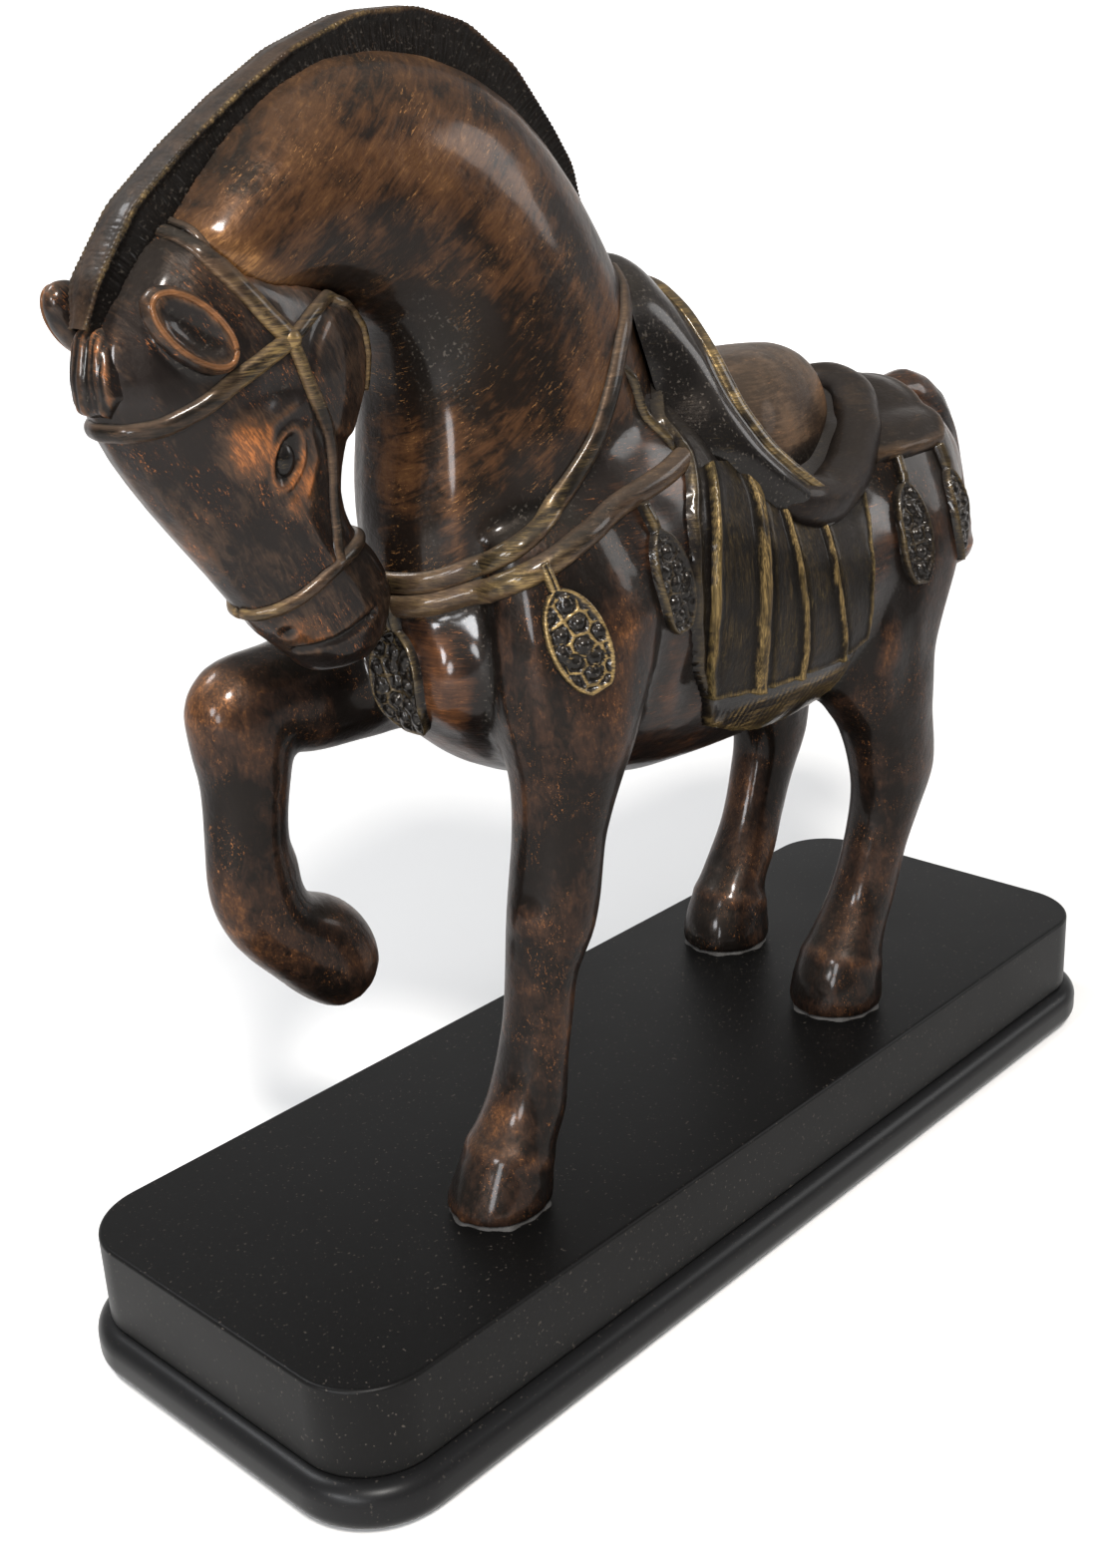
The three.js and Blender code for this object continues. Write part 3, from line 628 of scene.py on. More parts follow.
def ribbon(name, node, line, count, tree, width, section, material, gilt_of):
    """A strap along a line on a skin. section and gilt_of take t, -1 to 1 across, and s, 0 to 1 along."""
    centres, normals = draped(line, count, tree)
    sideways = unit(np.cross(normals, unit(np.gradient(centres, axis=0))))
    t = np.linspace(-1, 1, ACROSS)[None, :]
    s = np.linspace(0, 1, count)[:, None]
    start = centres[:, None] + sideways[:, None] * (t * width / 2)[..., None] + normals[:, None] * STRAP_RAY
    down = np.repeat(-normals[:, None], ACROSS, 1)
    surface, facing = cast(tree, start.reshape(-1, 3), down.reshape(-1, 3))
    surface = soften(surface.reshape(count, ACROSS, 3), 1)
    facing = unit(soften(facing.reshape(count, ACROSS, 3), 3))
    heights = section(t, s) + np.zeros((count, ACROSS))
    heights[:, 0] = heights[:, -1] = heights[0] = heights[-1] = SUNK
    points = surface + facing * heights[..., None]
    make_object(name, points, grid_faces(count, ACROSS), material, "dark_bronze", node,
                worn=relief(heights), gilt=gilt_of(t, s) + 0 * heights)


def relief(heights):
    """How far each point of a height map stands out from its surroundings, about -1 to 1."""
    wide = soften(heights[..., None], 4)[..., 0]
    return np.clip((heights - wide) / 0.16, -1, 1)


def patch(name, node, tree, rays, heights_of, material, slot, gilt_of=None, dark_of=None):
    """A piece over a grid of rays. The functions take its points and give height, gilding and blackening."""
    origins, directions = rays
    rows, columns = origins.shape[:2]
    surface, facing = cast(tree, origins.reshape(-1, 3), directions.reshape(-1, 3))
    surface = soften(surface.reshape(rows, columns, 3), 1)
    facing = unit(soften(facing.reshape(rows, columns, 3), 5))
    heights = heights_of(surface)
    points = surface + facing * heights[..., None]
    faces = grid_faces(rows, columns)
    shown = (heights.ravel()[faces] > SUNK + 0.05).any(1)
    used, index = np.unique(faces[shown], return_inverse=True)
    gilt = np.zeros_like(heights) if gilt_of is None else gilt_of(surface)
    worn = relief(heights) if dark_of is None else relief(heights) - dark_of(surface)
    make_object(name, points.reshape(-1, 3)[used], index.reshape(-1, 4), material, slot, node,
                worn=worn.ravel()[used], gilt=gilt.ravel()[used])


def rounded(edge, height, soft=1.2):
    """A cloth's height from its distance inside its own edge."""
    return SUNK + (height - SUNK) * ramp(edge, -0.3, soft)


def flipped(line):
    """The same line on the horse's right side."""
    return [(x, -y, z) for x, y, z in line]


def round_to_right(line, middle):
    """A line on the left, carried on through the middle and back along the right."""
    return line + [middle] + flipped(line[::-1])


def tube(name, path, radius, material, sides, worn, node=None, closed=False):
    """A round bar along a smooth path. The radius is one number, or one for each point."""
    path = np.asarray(path, float)
    forward = np.roll(path, -1, 0) - np.roll(path, 1, 0)
    if not closed:
        forward[0], forward[-1] = path[1] - path[0], path[-1] - path[-2]
    forward = unit(forward)
    across = unit(np.cross(forward, [0.02, 0.03, 1.0]))
    up = np.cross(across, forward)
    angle = full_turn(sides)
    ring = np.cos(angle)[None, :, None] * across[:, None] + np.sin(angle)[None, :, None] * up[:, None]
    points = path[:, None] + np.broadcast_to(radius, len(path))[:, None, None] * ring
    size = len(path) * sides
    make_object(name, points, grid_faces(len(path), sides, closed, True), material, "bronze",
                node, worn=np.full(size, worn), gilt=np.zeros(size))


# Round the trunk: rays leave a line along the horse, at an angle from straight up.
TRUNK_HEIGHT = 132


def trunk_grid(x_from, x_to, angle_from, angle_to, step):
    xs = np.arange(x_from, x_to, step)
    angles = np.radians(np.arange(angle_from, angle_to, step * 1.9))
    x, angle = np.meshgrid(xs, angles, indexing="ij")
    origins = np.stack([x, 0 * x, 0 * x + TRUNK_HEIGHT], -1)
    directions = np.stack([0 * x, np.sin(angle), np.cos(angle)], -1)
    return origins, directions


# ---- Saddle cloths ----
# Side outlines and lines, in X and Z.
BLANKET = [(0, 215), (-12, 180), (-16.4, 175), (-14, 168.3), (-18.6, 158.6), (-20.5, 148), (-20.2, 139),
           (-17, 128.7), (-9, 114.4), (1.6, 110), (15, 106), (27, 105.5), (33, 109), (35, 113), (35, 124),
           (39, 141), (46, 151), (47, 155.5), (50, 215)]
SKIRT = [(-10, 168), (-13.4, 157.8), (-15.1, 152.5), (-16.4, 145), (-16.3, 137), (-15, 128.4), (-13.2, 121.9),
         (-4.5, 121), (4.8, 119.9), (14, 120.3), (20.8, 120.2), (27.8, 120.7), (35.2, 122.8), (35.5, 132.2),
         (38.3, 141.1), (41.8, 146.6), (46, 152), (46, 162), (10, 168)]
PLEATS = [[(0.8, 157), (-1.3, 149.8), (-2.1, 144), (-2.6, 136), (-1.9, 128.5), (0.9, 119)],
          [(9.5, 157), (9.2, 145.5), (9.5, 139.4), (10.4, 132.9), (11.6, 126.2), (12.8, 119)],
          [(23.5, 157), (22.4, 144.6), (21.6, 138.7), (22.5, 132.2), (24.8, 126.1), (26.8, 119)]]
PLEAT_WIDTHS = (2.0, 1.1, 0.9)
RUMP_COVER = [(44, 215), (44, 155.4), (56, 155.5), (73.5, 155.8), (79, 159), (86, 164), (91, 168), (92, 215)]
PANEL = [(0, 215), (0, 185), (2, 170), (4, 156), (12, 152.5), (26, 151), (42, 154.5), (56, 160.5), (70, 165),
         (75, 167), (75, 215)]


def xz(points):
    return points[..., 0], points[..., 2]


def blanket_height(points):
    x, z = xz(points)
    edge = inside(x, z, BLANKET)
    piping = 0.6 * bell(edge, 1.1, 0.9) * ramp(x, 0, -6) * ramp(z, 112, 118)
    fringe = 0.12 * np.sin(4.2 * x) * ramp(z, 121, 118)
    return rounded(edge, 1.2, 0.7) + (piping + fringe) * (edge > 0)


def blanket_gilt_and_hem_shadow(points):
    x, z = xz(points)
    edge = inside(x, z, BLANKET)
    # The gold ends a little below the skirt's hem, so the dark strip left under the hem is a painted shadow.
    return 0.95 * ramp(z, 118.6, 117) * ramp(edge, 0, 1) + 0.14 * bell(edge, 1.0, 0.7)


def pleat_distance(x, z, line):
    """Signed distance in X from a pleat's crest."""
    levels, places = zip(*sorted((level, place) for place, level in line))
    return x - np.interp(z, levels, places)


def skirt_height(points):
    x, z = xz(points)
    edge = inside(x, z, SKIRT)
    height = rounded(edge, 2.5, 0.8) + 0.45 * bell(edge, 1.0, 0.6)
    for line, width in zip(PLEATS, PLEAT_WIDTHS):
        off = pleat_distance(x, z, line)
        fold = ramp(off, -width * 1.5, -width * 0.3) * ramp(off, width * 1.0, width * 0.55)
        height = height + (1.1 * fold - 0.5 * bell(off, width * 1.5, 0.9)) * (edge > 0.2)
    return height


def skirt_gilt(points):
    x, z = xz(points)
    edge = inside(x, z, SKIRT)
    gold = 0.14 + 0.4 * bell(edge, 0.9, 0.8) - 0.14 * ramp(x, 16, 34)
    for line, width in zip(PLEATS, PLEAT_WIDTHS):
        off = pleat_distance(x, z, line)
        gold = np.maximum(gold, ramp(off, -width * 1.2, -width * 0.4) * ramp(off, width * 0.9, width * 0.3))
        gold = gold * (1 - 0.9 * bell(off, width * 1.6, 1.2))
    return gold * ramp(edge, 0.1, 0.6)


def rump_height(points):
    edge = inside(*xz(points), RUMP_COVER)
    return rounded(edge, 1.7, 0.8) + 0.5 * bell(edge, 1.6, 1.1)


def panel_height(points):
    return rounded(inside(*xz(points), PANEL), 3.1, 0.9)


def cloths():
    rays = trunk_grid(-26, 52, -146, 146, 0.8)
    patch("blanket_cloth", "blanket", body_tree, rays, blanket_height, CLOTH, "dark_bronze", blanket_gilt_and_hem_shadow)
    for side, angles in (("left", (-124, -38)), ("right", (38, 124))):
        rays = trunk_grid(-19, 48, *angles, 0.5)
        patch(f"{side}_skirt_cloth", f"{side}_skirt", body_tree, rays, skirt_height, BRUSHED, "gilt_bronze",
              skirt_gilt)
    rays = trunk_grid(42, 95, -100, 100, 0.7)
    patch("rump_cloth", "rump_cover", body_tree, rays, rump_height, SADDLE, "bronze")
    rays = trunk_grid(-3, 78, -96, 96, 0.7)
    patch("saddle_base", "saddle_panel", body_tree, rays, panel_height, CLOTH, "dark_bronze")


cloths()


# ---- Saddle ----
# Points down one side of the arch: along its rim, behind, and along its foot, in front.
ARCH_RIM = [(0, 0, 199.2), (0, -8, 197.8), (0, -15, 192.8), (1, -21, 184.4), (2, -26, 175.2), (6, -30.3, 167),
            (14, -32.8, 160), (23, -33, 154.5), (30, -30, 150)]
ARCH_FOOT = [(-17, 0, 199), (-17.5, -8, 198), (-18, -14, 194.5), (-15, -18, 188.5), (-11, -21, 182),
             (-8.5, -25, 174.5), (-5.5, -29, 167.5), (2, -32, 159.5), (9, -34, 154), (20, -31.5, 148)]
ARCH_STATIONS = 201
ARCH_EDGE = 3.0  # thickness of the arch along its gilt edge
REAR_FACE = [(1.0, 0.7), (2.2, 0.7), (3.4, 0.5), (5, 0.1), (9, 0.0), (14, 0.0)]  # drop below the rim, gilding


def saddle_arch():
    """A swelling front arch: it rises from its foot to a beaded rim and drops to the seat behind."""
    rim = along(flipped(ARCH_RIM[:0:-1]) + ARCH_RIM, ARCH_STATIONS)
    foot, lift = draped(flipped(ARCH_FOOT[:0:-1]) + ARCH_FOOT, ARCH_STATIONS, body_tree)
    foot += 1.6 * lift
    outward = (rim + foot) / 2 - np.array([0, 0, 150])
    outward[:, 0] = 0
    outward = unit(outward)
    columns = []
    gold = []
    for step in np.linspace(0, 1, 24):
        swell = 2.6 * math.sin(math.pi * step) - 1.2 * (1 - step) - 0.5 * bell(step, 0.9, 0.05)
        columns.append(foot + (rim - foot) * step + outward * swell)
        gold.append(0.0 if step < 0.95 else 0.4)
    for turn in np.linspace(0, math.pi, 11):
        lift = outward * 0.6 * math.sin(turn)
        columns.append(rim + lift + np.array([ARCH_EDGE / 2 * (1 - math.cos(turn)), 0, 0]))
        gold.append(0.9)
    for drop, gilding in REAR_FACE:
        columns.append(rim - outward * drop + np.array([ARCH_EDGE + 0.12 * drop, 0, 0]))
        gold.append(gilding)
    points = np.stack(columns, 1)
    faces = grid_faces(ARCH_STATIONS, len(columns))
    gilt = np.repeat(np.array(gold)[None], ARCH_STATIONS, 0)
    worn = np.where(gilt > 0.2, 0.6, -0.45)
    make_object("front_arch", points, faces, CLOTH, "dark_bronze", "saddle_arch",
                worn=worn, gilt=gilt)


SEAT_SIDE = [(64, 0), (61, 5), (57, 9), (51.5, 12.5), (44, 16), (34, 20), (25, 22.5), (17, 23.3), (9, 21),
             (4, 15), (2, 6), (1.5, 0)]
SEAT_MIDDLE = 33
SEAT_TOP = 181


def saddle_seat():
    """A smooth dome over an outline like a drop: broad at the arch and narrow at the cantle."""
    outline = along(SEAT_SIDE + [(x, -y) for x, y in SEAT_SIDE[-2::-1]], 161)[:-1]
    spoke = outline - (SEAT_MIDDLE, 0)
    out = np.concatenate([np.linspace(0, 0.8, 24), np.sqrt(np.linspace(0.65, 1, 26))[1:]])
    base = 159.4 + 4.6 * ramp(outline[:, 0], 42, 64)
    rise = np.sqrt(np.clip(1 - out ** 3, 0, 1))
    level = base[None] + (SEAT_TOP - base[None]) * rise[:, None]
    plan = (SEAT_MIDDLE, 0) + spoke[None] * out[:, None, None]
    points = np.concatenate([plan, level[..., None]], -1)
    skirt = points[-1:] - [0, 0, 4]
    points = np.concatenate([points, skirt])
    # A band round the rear of the dome's rim is rubbed lighter and is also a painted highlight. The outermost
    # edge, where the dome meets the roll, is made black.
    rear_wear_and_highlight = ramp(plan[..., 0], 38, 60) * bell(out[:, None], 0.93, 0.07)
    worn = 0.1 + 1.1 * rear_wear_and_highlight - 0.9 * ramp(out, 0.985, 1)[:, None]
    worn = np.concatenate([worn, worn[-1:]])
    faces = grid_faces(len(points), len(outline), False, True)
    make_object("seat_dome", points, faces, SEAT, "bronze", "saddle_seat", worn=worn,
                gilt=0 * worn)


ROLL_SIDE = [(4, -30, 160), (15, -30, 155), (27, -29, 152.5), (41, -24.5, 155), (55, -18, 161),
             (66, -9, 166.3)]
ROLL_STATIONS = 220


def saddle_roll():
    """A bolster round the seat that narrows to both ends under the arch."""
    path = along(round_to_right(ROLL_SIDE, (70, 0, 168)), ROLL_STATIONS)
    station = np.arange(ROLL_STATIONS)
    radius = 0.4 + 4.9 * np.sqrt(ramp(np.minimum(station, station[::-1]), 0, 26))
    tube("seat_roll", path, radius, SADDLE, 28, 0.05, "saddle_roll")


saddle_arch()
saddle_seat()
saddle_roll()


# ---- Collar, breast strap and pendants ----
# Heights of straps, where t goes from -1 to 1 across and s from 0 to 1 along.
def round_rope(t, s):
    return 1.5 * arc(t) - 0.2


def soft_strap(t, s):
    return 1.9 * np.clip(1 - t * t, 0, 1) ** 0.7 - 0.25


def front_gilt(t, s):
    off = np.abs(s - 0.5)
    return (1.1 * bell(off, 0.19, 0.045) + 0.22 * ramp(off, 0.22, 0.12)) * (1 - 0.6 * t * t)


def piping(t, s):
    return 1.7 * arc(t) * ramp(np.abs(s - 0.5), 0.5, 0.3) - 0.3


COLLAR_SIDE = [(-8, -8, 202), (-14, -14, 198), (-22, -19, 190.5), (-30, -22, 180.5), (-35.5, -23, 173.5),
               (-41.6, -22.5, 167.4), (-46, -22.5, 164.4), (-52.4, -23.8, 161.4), (-56.7, -22, 158.8),
               (-59.3, -15, 155.4), (-63, -9, 153.2)]
BREAST_SIDE = [(-12, -26, 169), (-20, -28, 167), (-27, -28.5, 165.5), (-34, -28.5, 164), (-41, -29, 161.8),
               (-47, -29, 159.2), (-52, -28, 157), (-56.5, -24.5, 154.6), (-58.5, -18, 151.8),
               (-62, -10, 149.4)]
WITHERS_PIPING = [(-22, -21.6, 187), (-20.3, -21.8, 183.4), (-16.4, -24.3, 174.6), (-14.2, -27.3, 169.8)]


def harness():
    line = round_to_right(COLLAR_SIDE, (-65, 0, 152.5))
    ribbon("collar_rope", "neck_collar", line, 320, body_tree, 4.4, round_rope, STRAP, front_gilt)
    line = round_to_right(BREAST_SIDE, (-65, 0, 148))
    ribbon("breast_band", "breast_strap", line, 320, body_tree, 5.0, soft_strap, STRAP, front_gilt)
    for side, line in (("left", WITHERS_PIPING), ("right", flipped(WITHERS_PIPING))):
        ribbon(f"{side}_withers_piping", None, line, 60, body_tree, 2.0, piping, CLOTH, lambda t, s: 0.25)


harness()


def leaf(u, v, length, width):
    """Distance inside a leaf that hangs from the origin on a short neck, with v measured downwards."""
    t = np.clip(v / length, 0, 1)
    belly = arc((t - 0.60) / 0.42)
    half = width / 2 * np.maximum(belly, 0.20)
    return np.minimum(half - np.abs(u), np.minimum(v + 1, length - v))


def cells(u, v, pitch, seed):
    """Distance to the nearest cell centre and to the nearest cell wall, over an uneven honeycomb.

    Sines of large angles, different for each cell, stand in for random numbers in moving its centre.
    """
    row = pitch * math.sqrt(3) / 2
    best = np.full(u.shape, 1e9)
    second = np.full(u.shape, 1e9)
    base = np.floor(v / row)
    for dr in (-1, 0, 1, 2):
        r = base + dr
        shift = (r % 2) * pitch / 2
        column = np.round((u - shift) / pitch)
        for dc in (-1, 0, 1):
            c = column + dc
            wander = 0.16 * pitch * np.sin(12.9 * c + 78.2 * r + seed)
            sway = 0.16 * pitch * np.sin(39.3 * c + 11.1 * r + 2 * seed)
            distance = np.hypot(u - c * pitch - shift - wander, v - r * row - sway)
            second = np.minimum(second, np.maximum(best, distance))
            best = np.minimum(best, distance)
    return best, (second - best) / 2


BEAD_PITCH = 3.6
PENDANT_RAY = 24  # how far out from its hanging point the rays of a pendant start
PENDANT_STEP = 0.3


def pendant(name, anchor, yaw, length, width, lean, bright, seed):
    """A leaf plate with beads in cells, cast onto the skin around its hanging point."""
    turn = 1 if anchor[1] <= 0 else -1
    across = np.array([math.cos(yaw), turn * math.sin(yaw), 0])
    outward = np.array([math.sin(yaw), -turn * math.cos(yaw), 0])
    u, v = np.meshgrid(np.arange(-width / 2 - 1.5, width / 2 + 1.5, PENDANT_STEP),
                       np.arange(-1.5, length + 1.5, PENDANT_STEP), indexing="ij")
    tilted_u = u * math.cos(lean) + v * math.sin(lean)
    tilted_v = -u * math.sin(lean) + v * math.cos(lean)
    origins = np.array(anchor) + across * tilted_u[..., None] + outward * PENDANT_RAY
    origins = origins - np.array([0, 0, 1.0]) * tilted_v[..., None]
    directions = np.broadcast_to(-outward, origins.shape)
    edge = leaf(u, v, length, width)
    bead, wall = cells(u, v - length * 0.6, BEAD_PITCH, seed)
    rim = bell(edge, 0.6, 0.5)
    field = ramp(edge, 0.9, 1.5) * ramp(v, length * 0.20, length * 0.26)
    dome = arc(bead / (BEAD_PITCH * 0.38))
    web = bell(wall, 0, 0.40)
    heights = rounded(edge, 1.0, 0.5) + 0.7 * rim + field * (1.3 * dome + 0.75 * web - 0.6)
    heights += 0.5 * ramp(v, length * 0.22, length * 0.1) * ramp(edge, -0.1, 0.6)
    gold = bright * np.clip(rim + field * web + ramp(v, length * 0.25, length * 0.15), 0, 1) + 0.12 * rim
    patch(name + "_leaf", name, body_tree, (origins, directions), lambda points: heights, CLOTH,
          "gilt_bronze", lambda points: gold, lambda points: 1.4 * field * dome)


PENDANTS = {  # hanging point, yaw, length, width, lean and how bright its gold is
    "side": ((-28.9, -30, 162), 0.0, 24.5, 9.7, 0.24, 0.2),
    "front": ((-53.4, -27, 156), -0.75, 24, 10.8, 0.365, 1.8),
    "rump_front": ((57, -27, 155.5), 0.0, 26, 9.4, -0.07, 0.12),
    "rump_rear": ((72, -26, 155.5), 0.3, 24.5, 8.5, 0.0, 0.12),
}
for seed, (name, ((x, y, z), *rest)) in enumerate(PENDANTS.items()):
    pendant(f"left_{name}_pendant", (x, y, z), *rest, seed)
    pendant(f"right_{name}_pendant", (x, -y, z), *rest, seed + 10)
pendant("centre_pendant", (-66, 0, 148), -math.pi / 2, 24.5, 13.5, 0.0, 0.3, 5)


# ---- Bridle ----
CROSS = (-92.8, -13.4, 199)
CROWN_SIDE = [CROSS, (-96.4, -13, 202.8), (-100, -12, 207.3), (-104, -9.5, 212.5), (-106, -5, 216.5)]
BROW_SIDE = [CROSS, (-98.6, -13.5, 196.6), (-104.2, -12.8, 193.9), (-109.3, -11.4, 190.8),
             (-115.5, -8, 188.2)]
CHEEK = [CROSS, (-89.8, -13.4, 190.7), (-86, -12, 183.6), (-84, -10.8, 176), (-83.5, -10.2, 168),
         (-84, -10, 161.5)]
THROAT = [CROSS, (-86.6, -12, 202.4), (-80, -10, 205), (-74, -8, 203.5), (-70.5, -6.5, 199), (-69.5, -6, 193),
          (-71, -6.5, 187)]
NOSE_FRONT = (-98.6, 0, 154.4)
NOSE_SIDE = [(-97, -3.5, 154.6), (-92.5, -8, 156.6), (-85.5, -9.8, 160.8), (-79, -8, 162.8),
             (-74.5, -4, 163.4)]


def low_strap(t, s):
    return 1.25 * np.clip(1 - t * t, 0, 1) ** 0.6 - 0.15


def bridle():
    def strap(name, node, line, width, gilt_of, tree=horse_tree):
        ribbon(name, node, line, 150, tree, width, low_strap, STRAP, gilt_of)

    def ends(t, s):
        return 0.7 * ramp(np.abs(s - 0.5), 0.22, 0.47)

    def sides(t, s):
        return 0.7 * ramp(np.abs(s - 0.5), 0.3, 0.42) * ramp(t, -1, 1)

    def upper(t, s):
        return 0.5 * ramp(s, 0.4, 0.05)

    strap("crown_strap", "crownpiece", round_to_right(CROWN_SIDE, (-107, 0, 217.5)), 3.8, ends)
    strap("brow_strap", "browband", round_to_right(BROW_SIDE, (-120.6, 0, 188)), 3.4, ends)
    ring = [NOSE_FRONT] + round_to_right(NOSE_SIDE, (-72.5, 0, 163.5)) + [NOSE_FRONT]
    strap("nose_strap", "noseband", ring, 2.8, sides)
    head_tree = head.tree()
    for side, mirror in (("left", list), ("right", flipped)):
        strap(f"{side}_cheek", f"{side}_cheek_strap", mirror(CHEEK), 2.6, upper)
        strap(f"{side}_throat", f"{side}_throatlatch", mirror(THROAT), 2.6, lambda t, s: 0.4, head_tree)


bridle()


def ball(name, node, centre, radii, material, slot, shine):
    """A ball, rubbed and gilded as far as shine says."""
    rise, turn = np.meshgrid(np.linspace(-math.pi / 2, math.pi / 2, 28),
                             full_turn(56), indexing="ij")
    shape = np.stack([np.cos(rise) * np.cos(turn), np.cos(rise) * np.sin(turn), np.sin(rise)], -1)
    points = np.array(centre) + np.array(radii) * shape
    make_object(name, points, grid_faces(*rise.shape, False, True), material, slot, node,
                worn=np.full(rise.shape, shine), gilt=np.full(rise.shape, shine))


for side, turn in (("left", -1), ("right", 1)):
    place = (EYE[0], turn * 10.9, EYE[1])
    ball(f"{side}_eyeball", f"{side}_eye", place, (2.3, 2.3, 3.2), CLOTH, "dark_bronze", 0.0)
    place = (CROSS[0], turn * 13.6, CROSS[2])
    ball(f"{side}_bridle_boss", None, place, (1.7, 1.3, 1.7), STRAP, "gilt_bronze", 0.9)


# ---- Ears' rims, mane and forelock ----
EARS = {"left": (-111, -13, 202.5), "right": (-111, 15.5, 202.5)}
EAR_LEAF = np.array([4.8, 3.6, 8.8])  # half sizes across, through and along the leaf
EAR_OPENING = (3.7, 7.4)  # half sizes of the hollow, across and along


def ear_rims():
    """A bright rim round the hollow of each ear."""
    for name, centre in EARS.items():
        turn = math.copysign(1, centre[1])
        lengthwise = unit(np.array([-11, -3.5 * turn, 10.5]))
        outward = np.array([-0.62, 0.62 * turn, 0.48])
        outward = unit(outward - lengthwise * (outward @ lengthwise))
        axes = np.stack([np.cross(outward, lengthwise), outward, lengthwise])
        angle = full_turn(90)
        across, up = EAR_OPENING[0] * np.cos(angle), EAR_OPENING[1] * np.sin(angle)
        through = EAR_LEAF[1] * np.sqrt(1 - (across / EAR_LEAF[0]) ** 2 - (up / EAR_LEAF[2]) ** 2)
        path = np.array(centre) + np.stack([across, through, up], 1) @ axes
        tube(f"{name}_ear_rim", path, 0.48, RIM, 12, 0.9, closed=True)


ear_rims()

CREST = [(-118.5, 201.5), (-115.5, 207), (-108, 216.5), (-98, 224), (-88, 230.5), (-77, 236.5), (-64, 241),
         (-53, 241.7), (-43, 239.5), (-33.5, 233.5), (-25, 223.5), (-15, 209.5)]
# Half of the mane's cross-section: out to the side, and up from the crest.
MANE_HALF = [(3.0, -4.5), (3.1, -3), (3.15, -1.5), (3.2, 0), (3.2, 1.5), (3.25, 3), (3.45, 4.1), (3.75, 4.7),
             (3.55, 5.15), (2.9, 5.15), (2.2, 5.25), (1.3, 5.4), (0, 5.5)]
MANE_STATIONS = 700
TOOTH = 4.4  # stations from one tooth of the mane's edge to the next


def mane():
    """A clipped mane: a flat ribbon on top, with sharp saw-toothed edges and rough sides."""
    line = along([(x, 0, z) for x, z in CREST], MANE_STATIONS)
    forward = unit(np.gradient(line, axis=0))
    outward = np.cross(forward, [0, -1.0, 0])
    outward *= np.sign(outward[MANE_STATIONS // 2, 2])
    width, height = np.array([(-y, n) for y, n in MANE_HALF] + MANE_HALF[-2::-1]).T[:, None]
    station = np.arange(MANE_STATIONS)[:, None]
    edge = bell(height, 4.9, 0.35) * (np.abs(width) > 3.3)
    side = (height < 4.3) & (height > -4.2)
    rough = np.random.default_rng(7).normal(size=(MANE_STATIONS, width.size))
    rough = (rough + np.roll(rough, 1, 0) + np.roll(rough, 1, 1)) / 2
    teeth = np.abs((station / TOOTH) % 1 - 0.5) * 2
    taper = ramp(station, 0, 40) * ramp(station, MANE_STATIONS, MANE_STATIONS - 60)
    y = width * (0.55 + 0.45 * taper) + np.sign(width) * (edge * 0.4 * teeth + side * 0.10 * rough)
    n = height + edge * 0.15 * teeth - (1 - taper) * 1.2 * (height > 0) + 0.015 * rough * (1 - side)
    points = line[:, None] + outward[:, None] * n[..., None] + np.array([0, 1.0, 0]) * y[..., None]
    gilt = 0.8 * edge * (0.4 + 0.6 * teeth) * ramp(station, 440, 360)
    worn = np.where(height > 4.5, 0.35, -0.5) + 0 * n
    make_object("mane_ribbon", points, grid_faces(*n.shape), MANE, "dark_bronze", "mane",
                worn=worn, gilt=gilt)


mane()

# The forelock's outline from the front, in Y and Z.
FORELOCK = [(-2.5, 204), (-4.5, 201), (-6, 197), (-6.2, 193), (-3.5, 189.6), (3.5, 189.6), (6.2, 193),
            (6, 197), (4.5, 201), (2.5, 204)]


def forelock():
    """A tuft combed down the forehead in a few thick locks."""
    y, z = np.meshgrid(np.arange(-9, 9, 0.3), np.arange(187.5, 213, 0.3), indexing="ij")
    rays = np.stack([0 * y - 140, y, z], -1), np.stack([0 * y + 1, 0 * y, 0 * y], -1)
    edge = inside(y, z, FORELOCK)
    comb = y * (1 + 0.02 * (z - 200))
    locks = np.abs(np.sin(0.62 * comb + 0.6)) ** 0.6
    hairs = np.abs(np.sin(2.4 * comb + 0.12 * z))
    heights = rounded(edge, 0.9, 2.2) + (0.8 * locks + 0.35 * hairs - 0.4) * ramp(edge, 0, 1.5)
    patch("forelock_tuft", "forelock", head.tree(), rays, lambda points: heights, FACE, "dark_bronze")


forelock()


# ---- Plinth ----
CORNER = 15  # radius of the block's corners in plan


def slab(name, node, edge, material, capped):
    """A block with rounded corners in plan and rounded edges, over the box of its CAD node."""
    low, high = (np.array(corner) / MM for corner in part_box(node))
    half = (high - low)[:2] / 2
    radius = CORNER + half[1] - HALF_WIDTH
    corner = np.linspace(0, math.pi / 2, 24)
    outline = []
    for k, (sx, sy) in enumerate(((1, 1), (-1, 1), (-1, -1), (1, -1))):
        angle = corner + k * math.pi / 2
        centre = np.array([sx, sy]) * (half - radius)
        outline += [(centre + radius * np.array([math.cos(a), math.sin(a)])).tolist() for a in angle]
    outline = np.array(outline)
    outward = unit(outline - np.sign(outline) * (half - radius))
    turn = np.linspace(0, math.pi / 2, 12)
    inset = np.concatenate([edge * (1 - np.sin(turn)), edge * (1 - np.cos(turn))])
    level = np.concatenate([low[2] + edge * (1 - np.cos(turn)), high[2] - edge * (1 - np.sin(turn))])
    inset = np.concatenate([[8, edge + 0.4], inset, [edge + 0.4, 8]])
    level = np.concatenate([[low[2]] * 2, level, [high[2]] * 2])
    rings = [np.column_stack([outline - outward * i, np.full(len(outline), z)]) for i, z in zip(inset, level)]
    faces = grid_faces(len(rings), len(outline), False, True).tolist()
    if capped:
        last = len(rings) * len(outline)
        faces.append(list(range(last - len(outline), last)))
    make_object(name, np.concatenate(rings), faces, material, "black_wood", node)


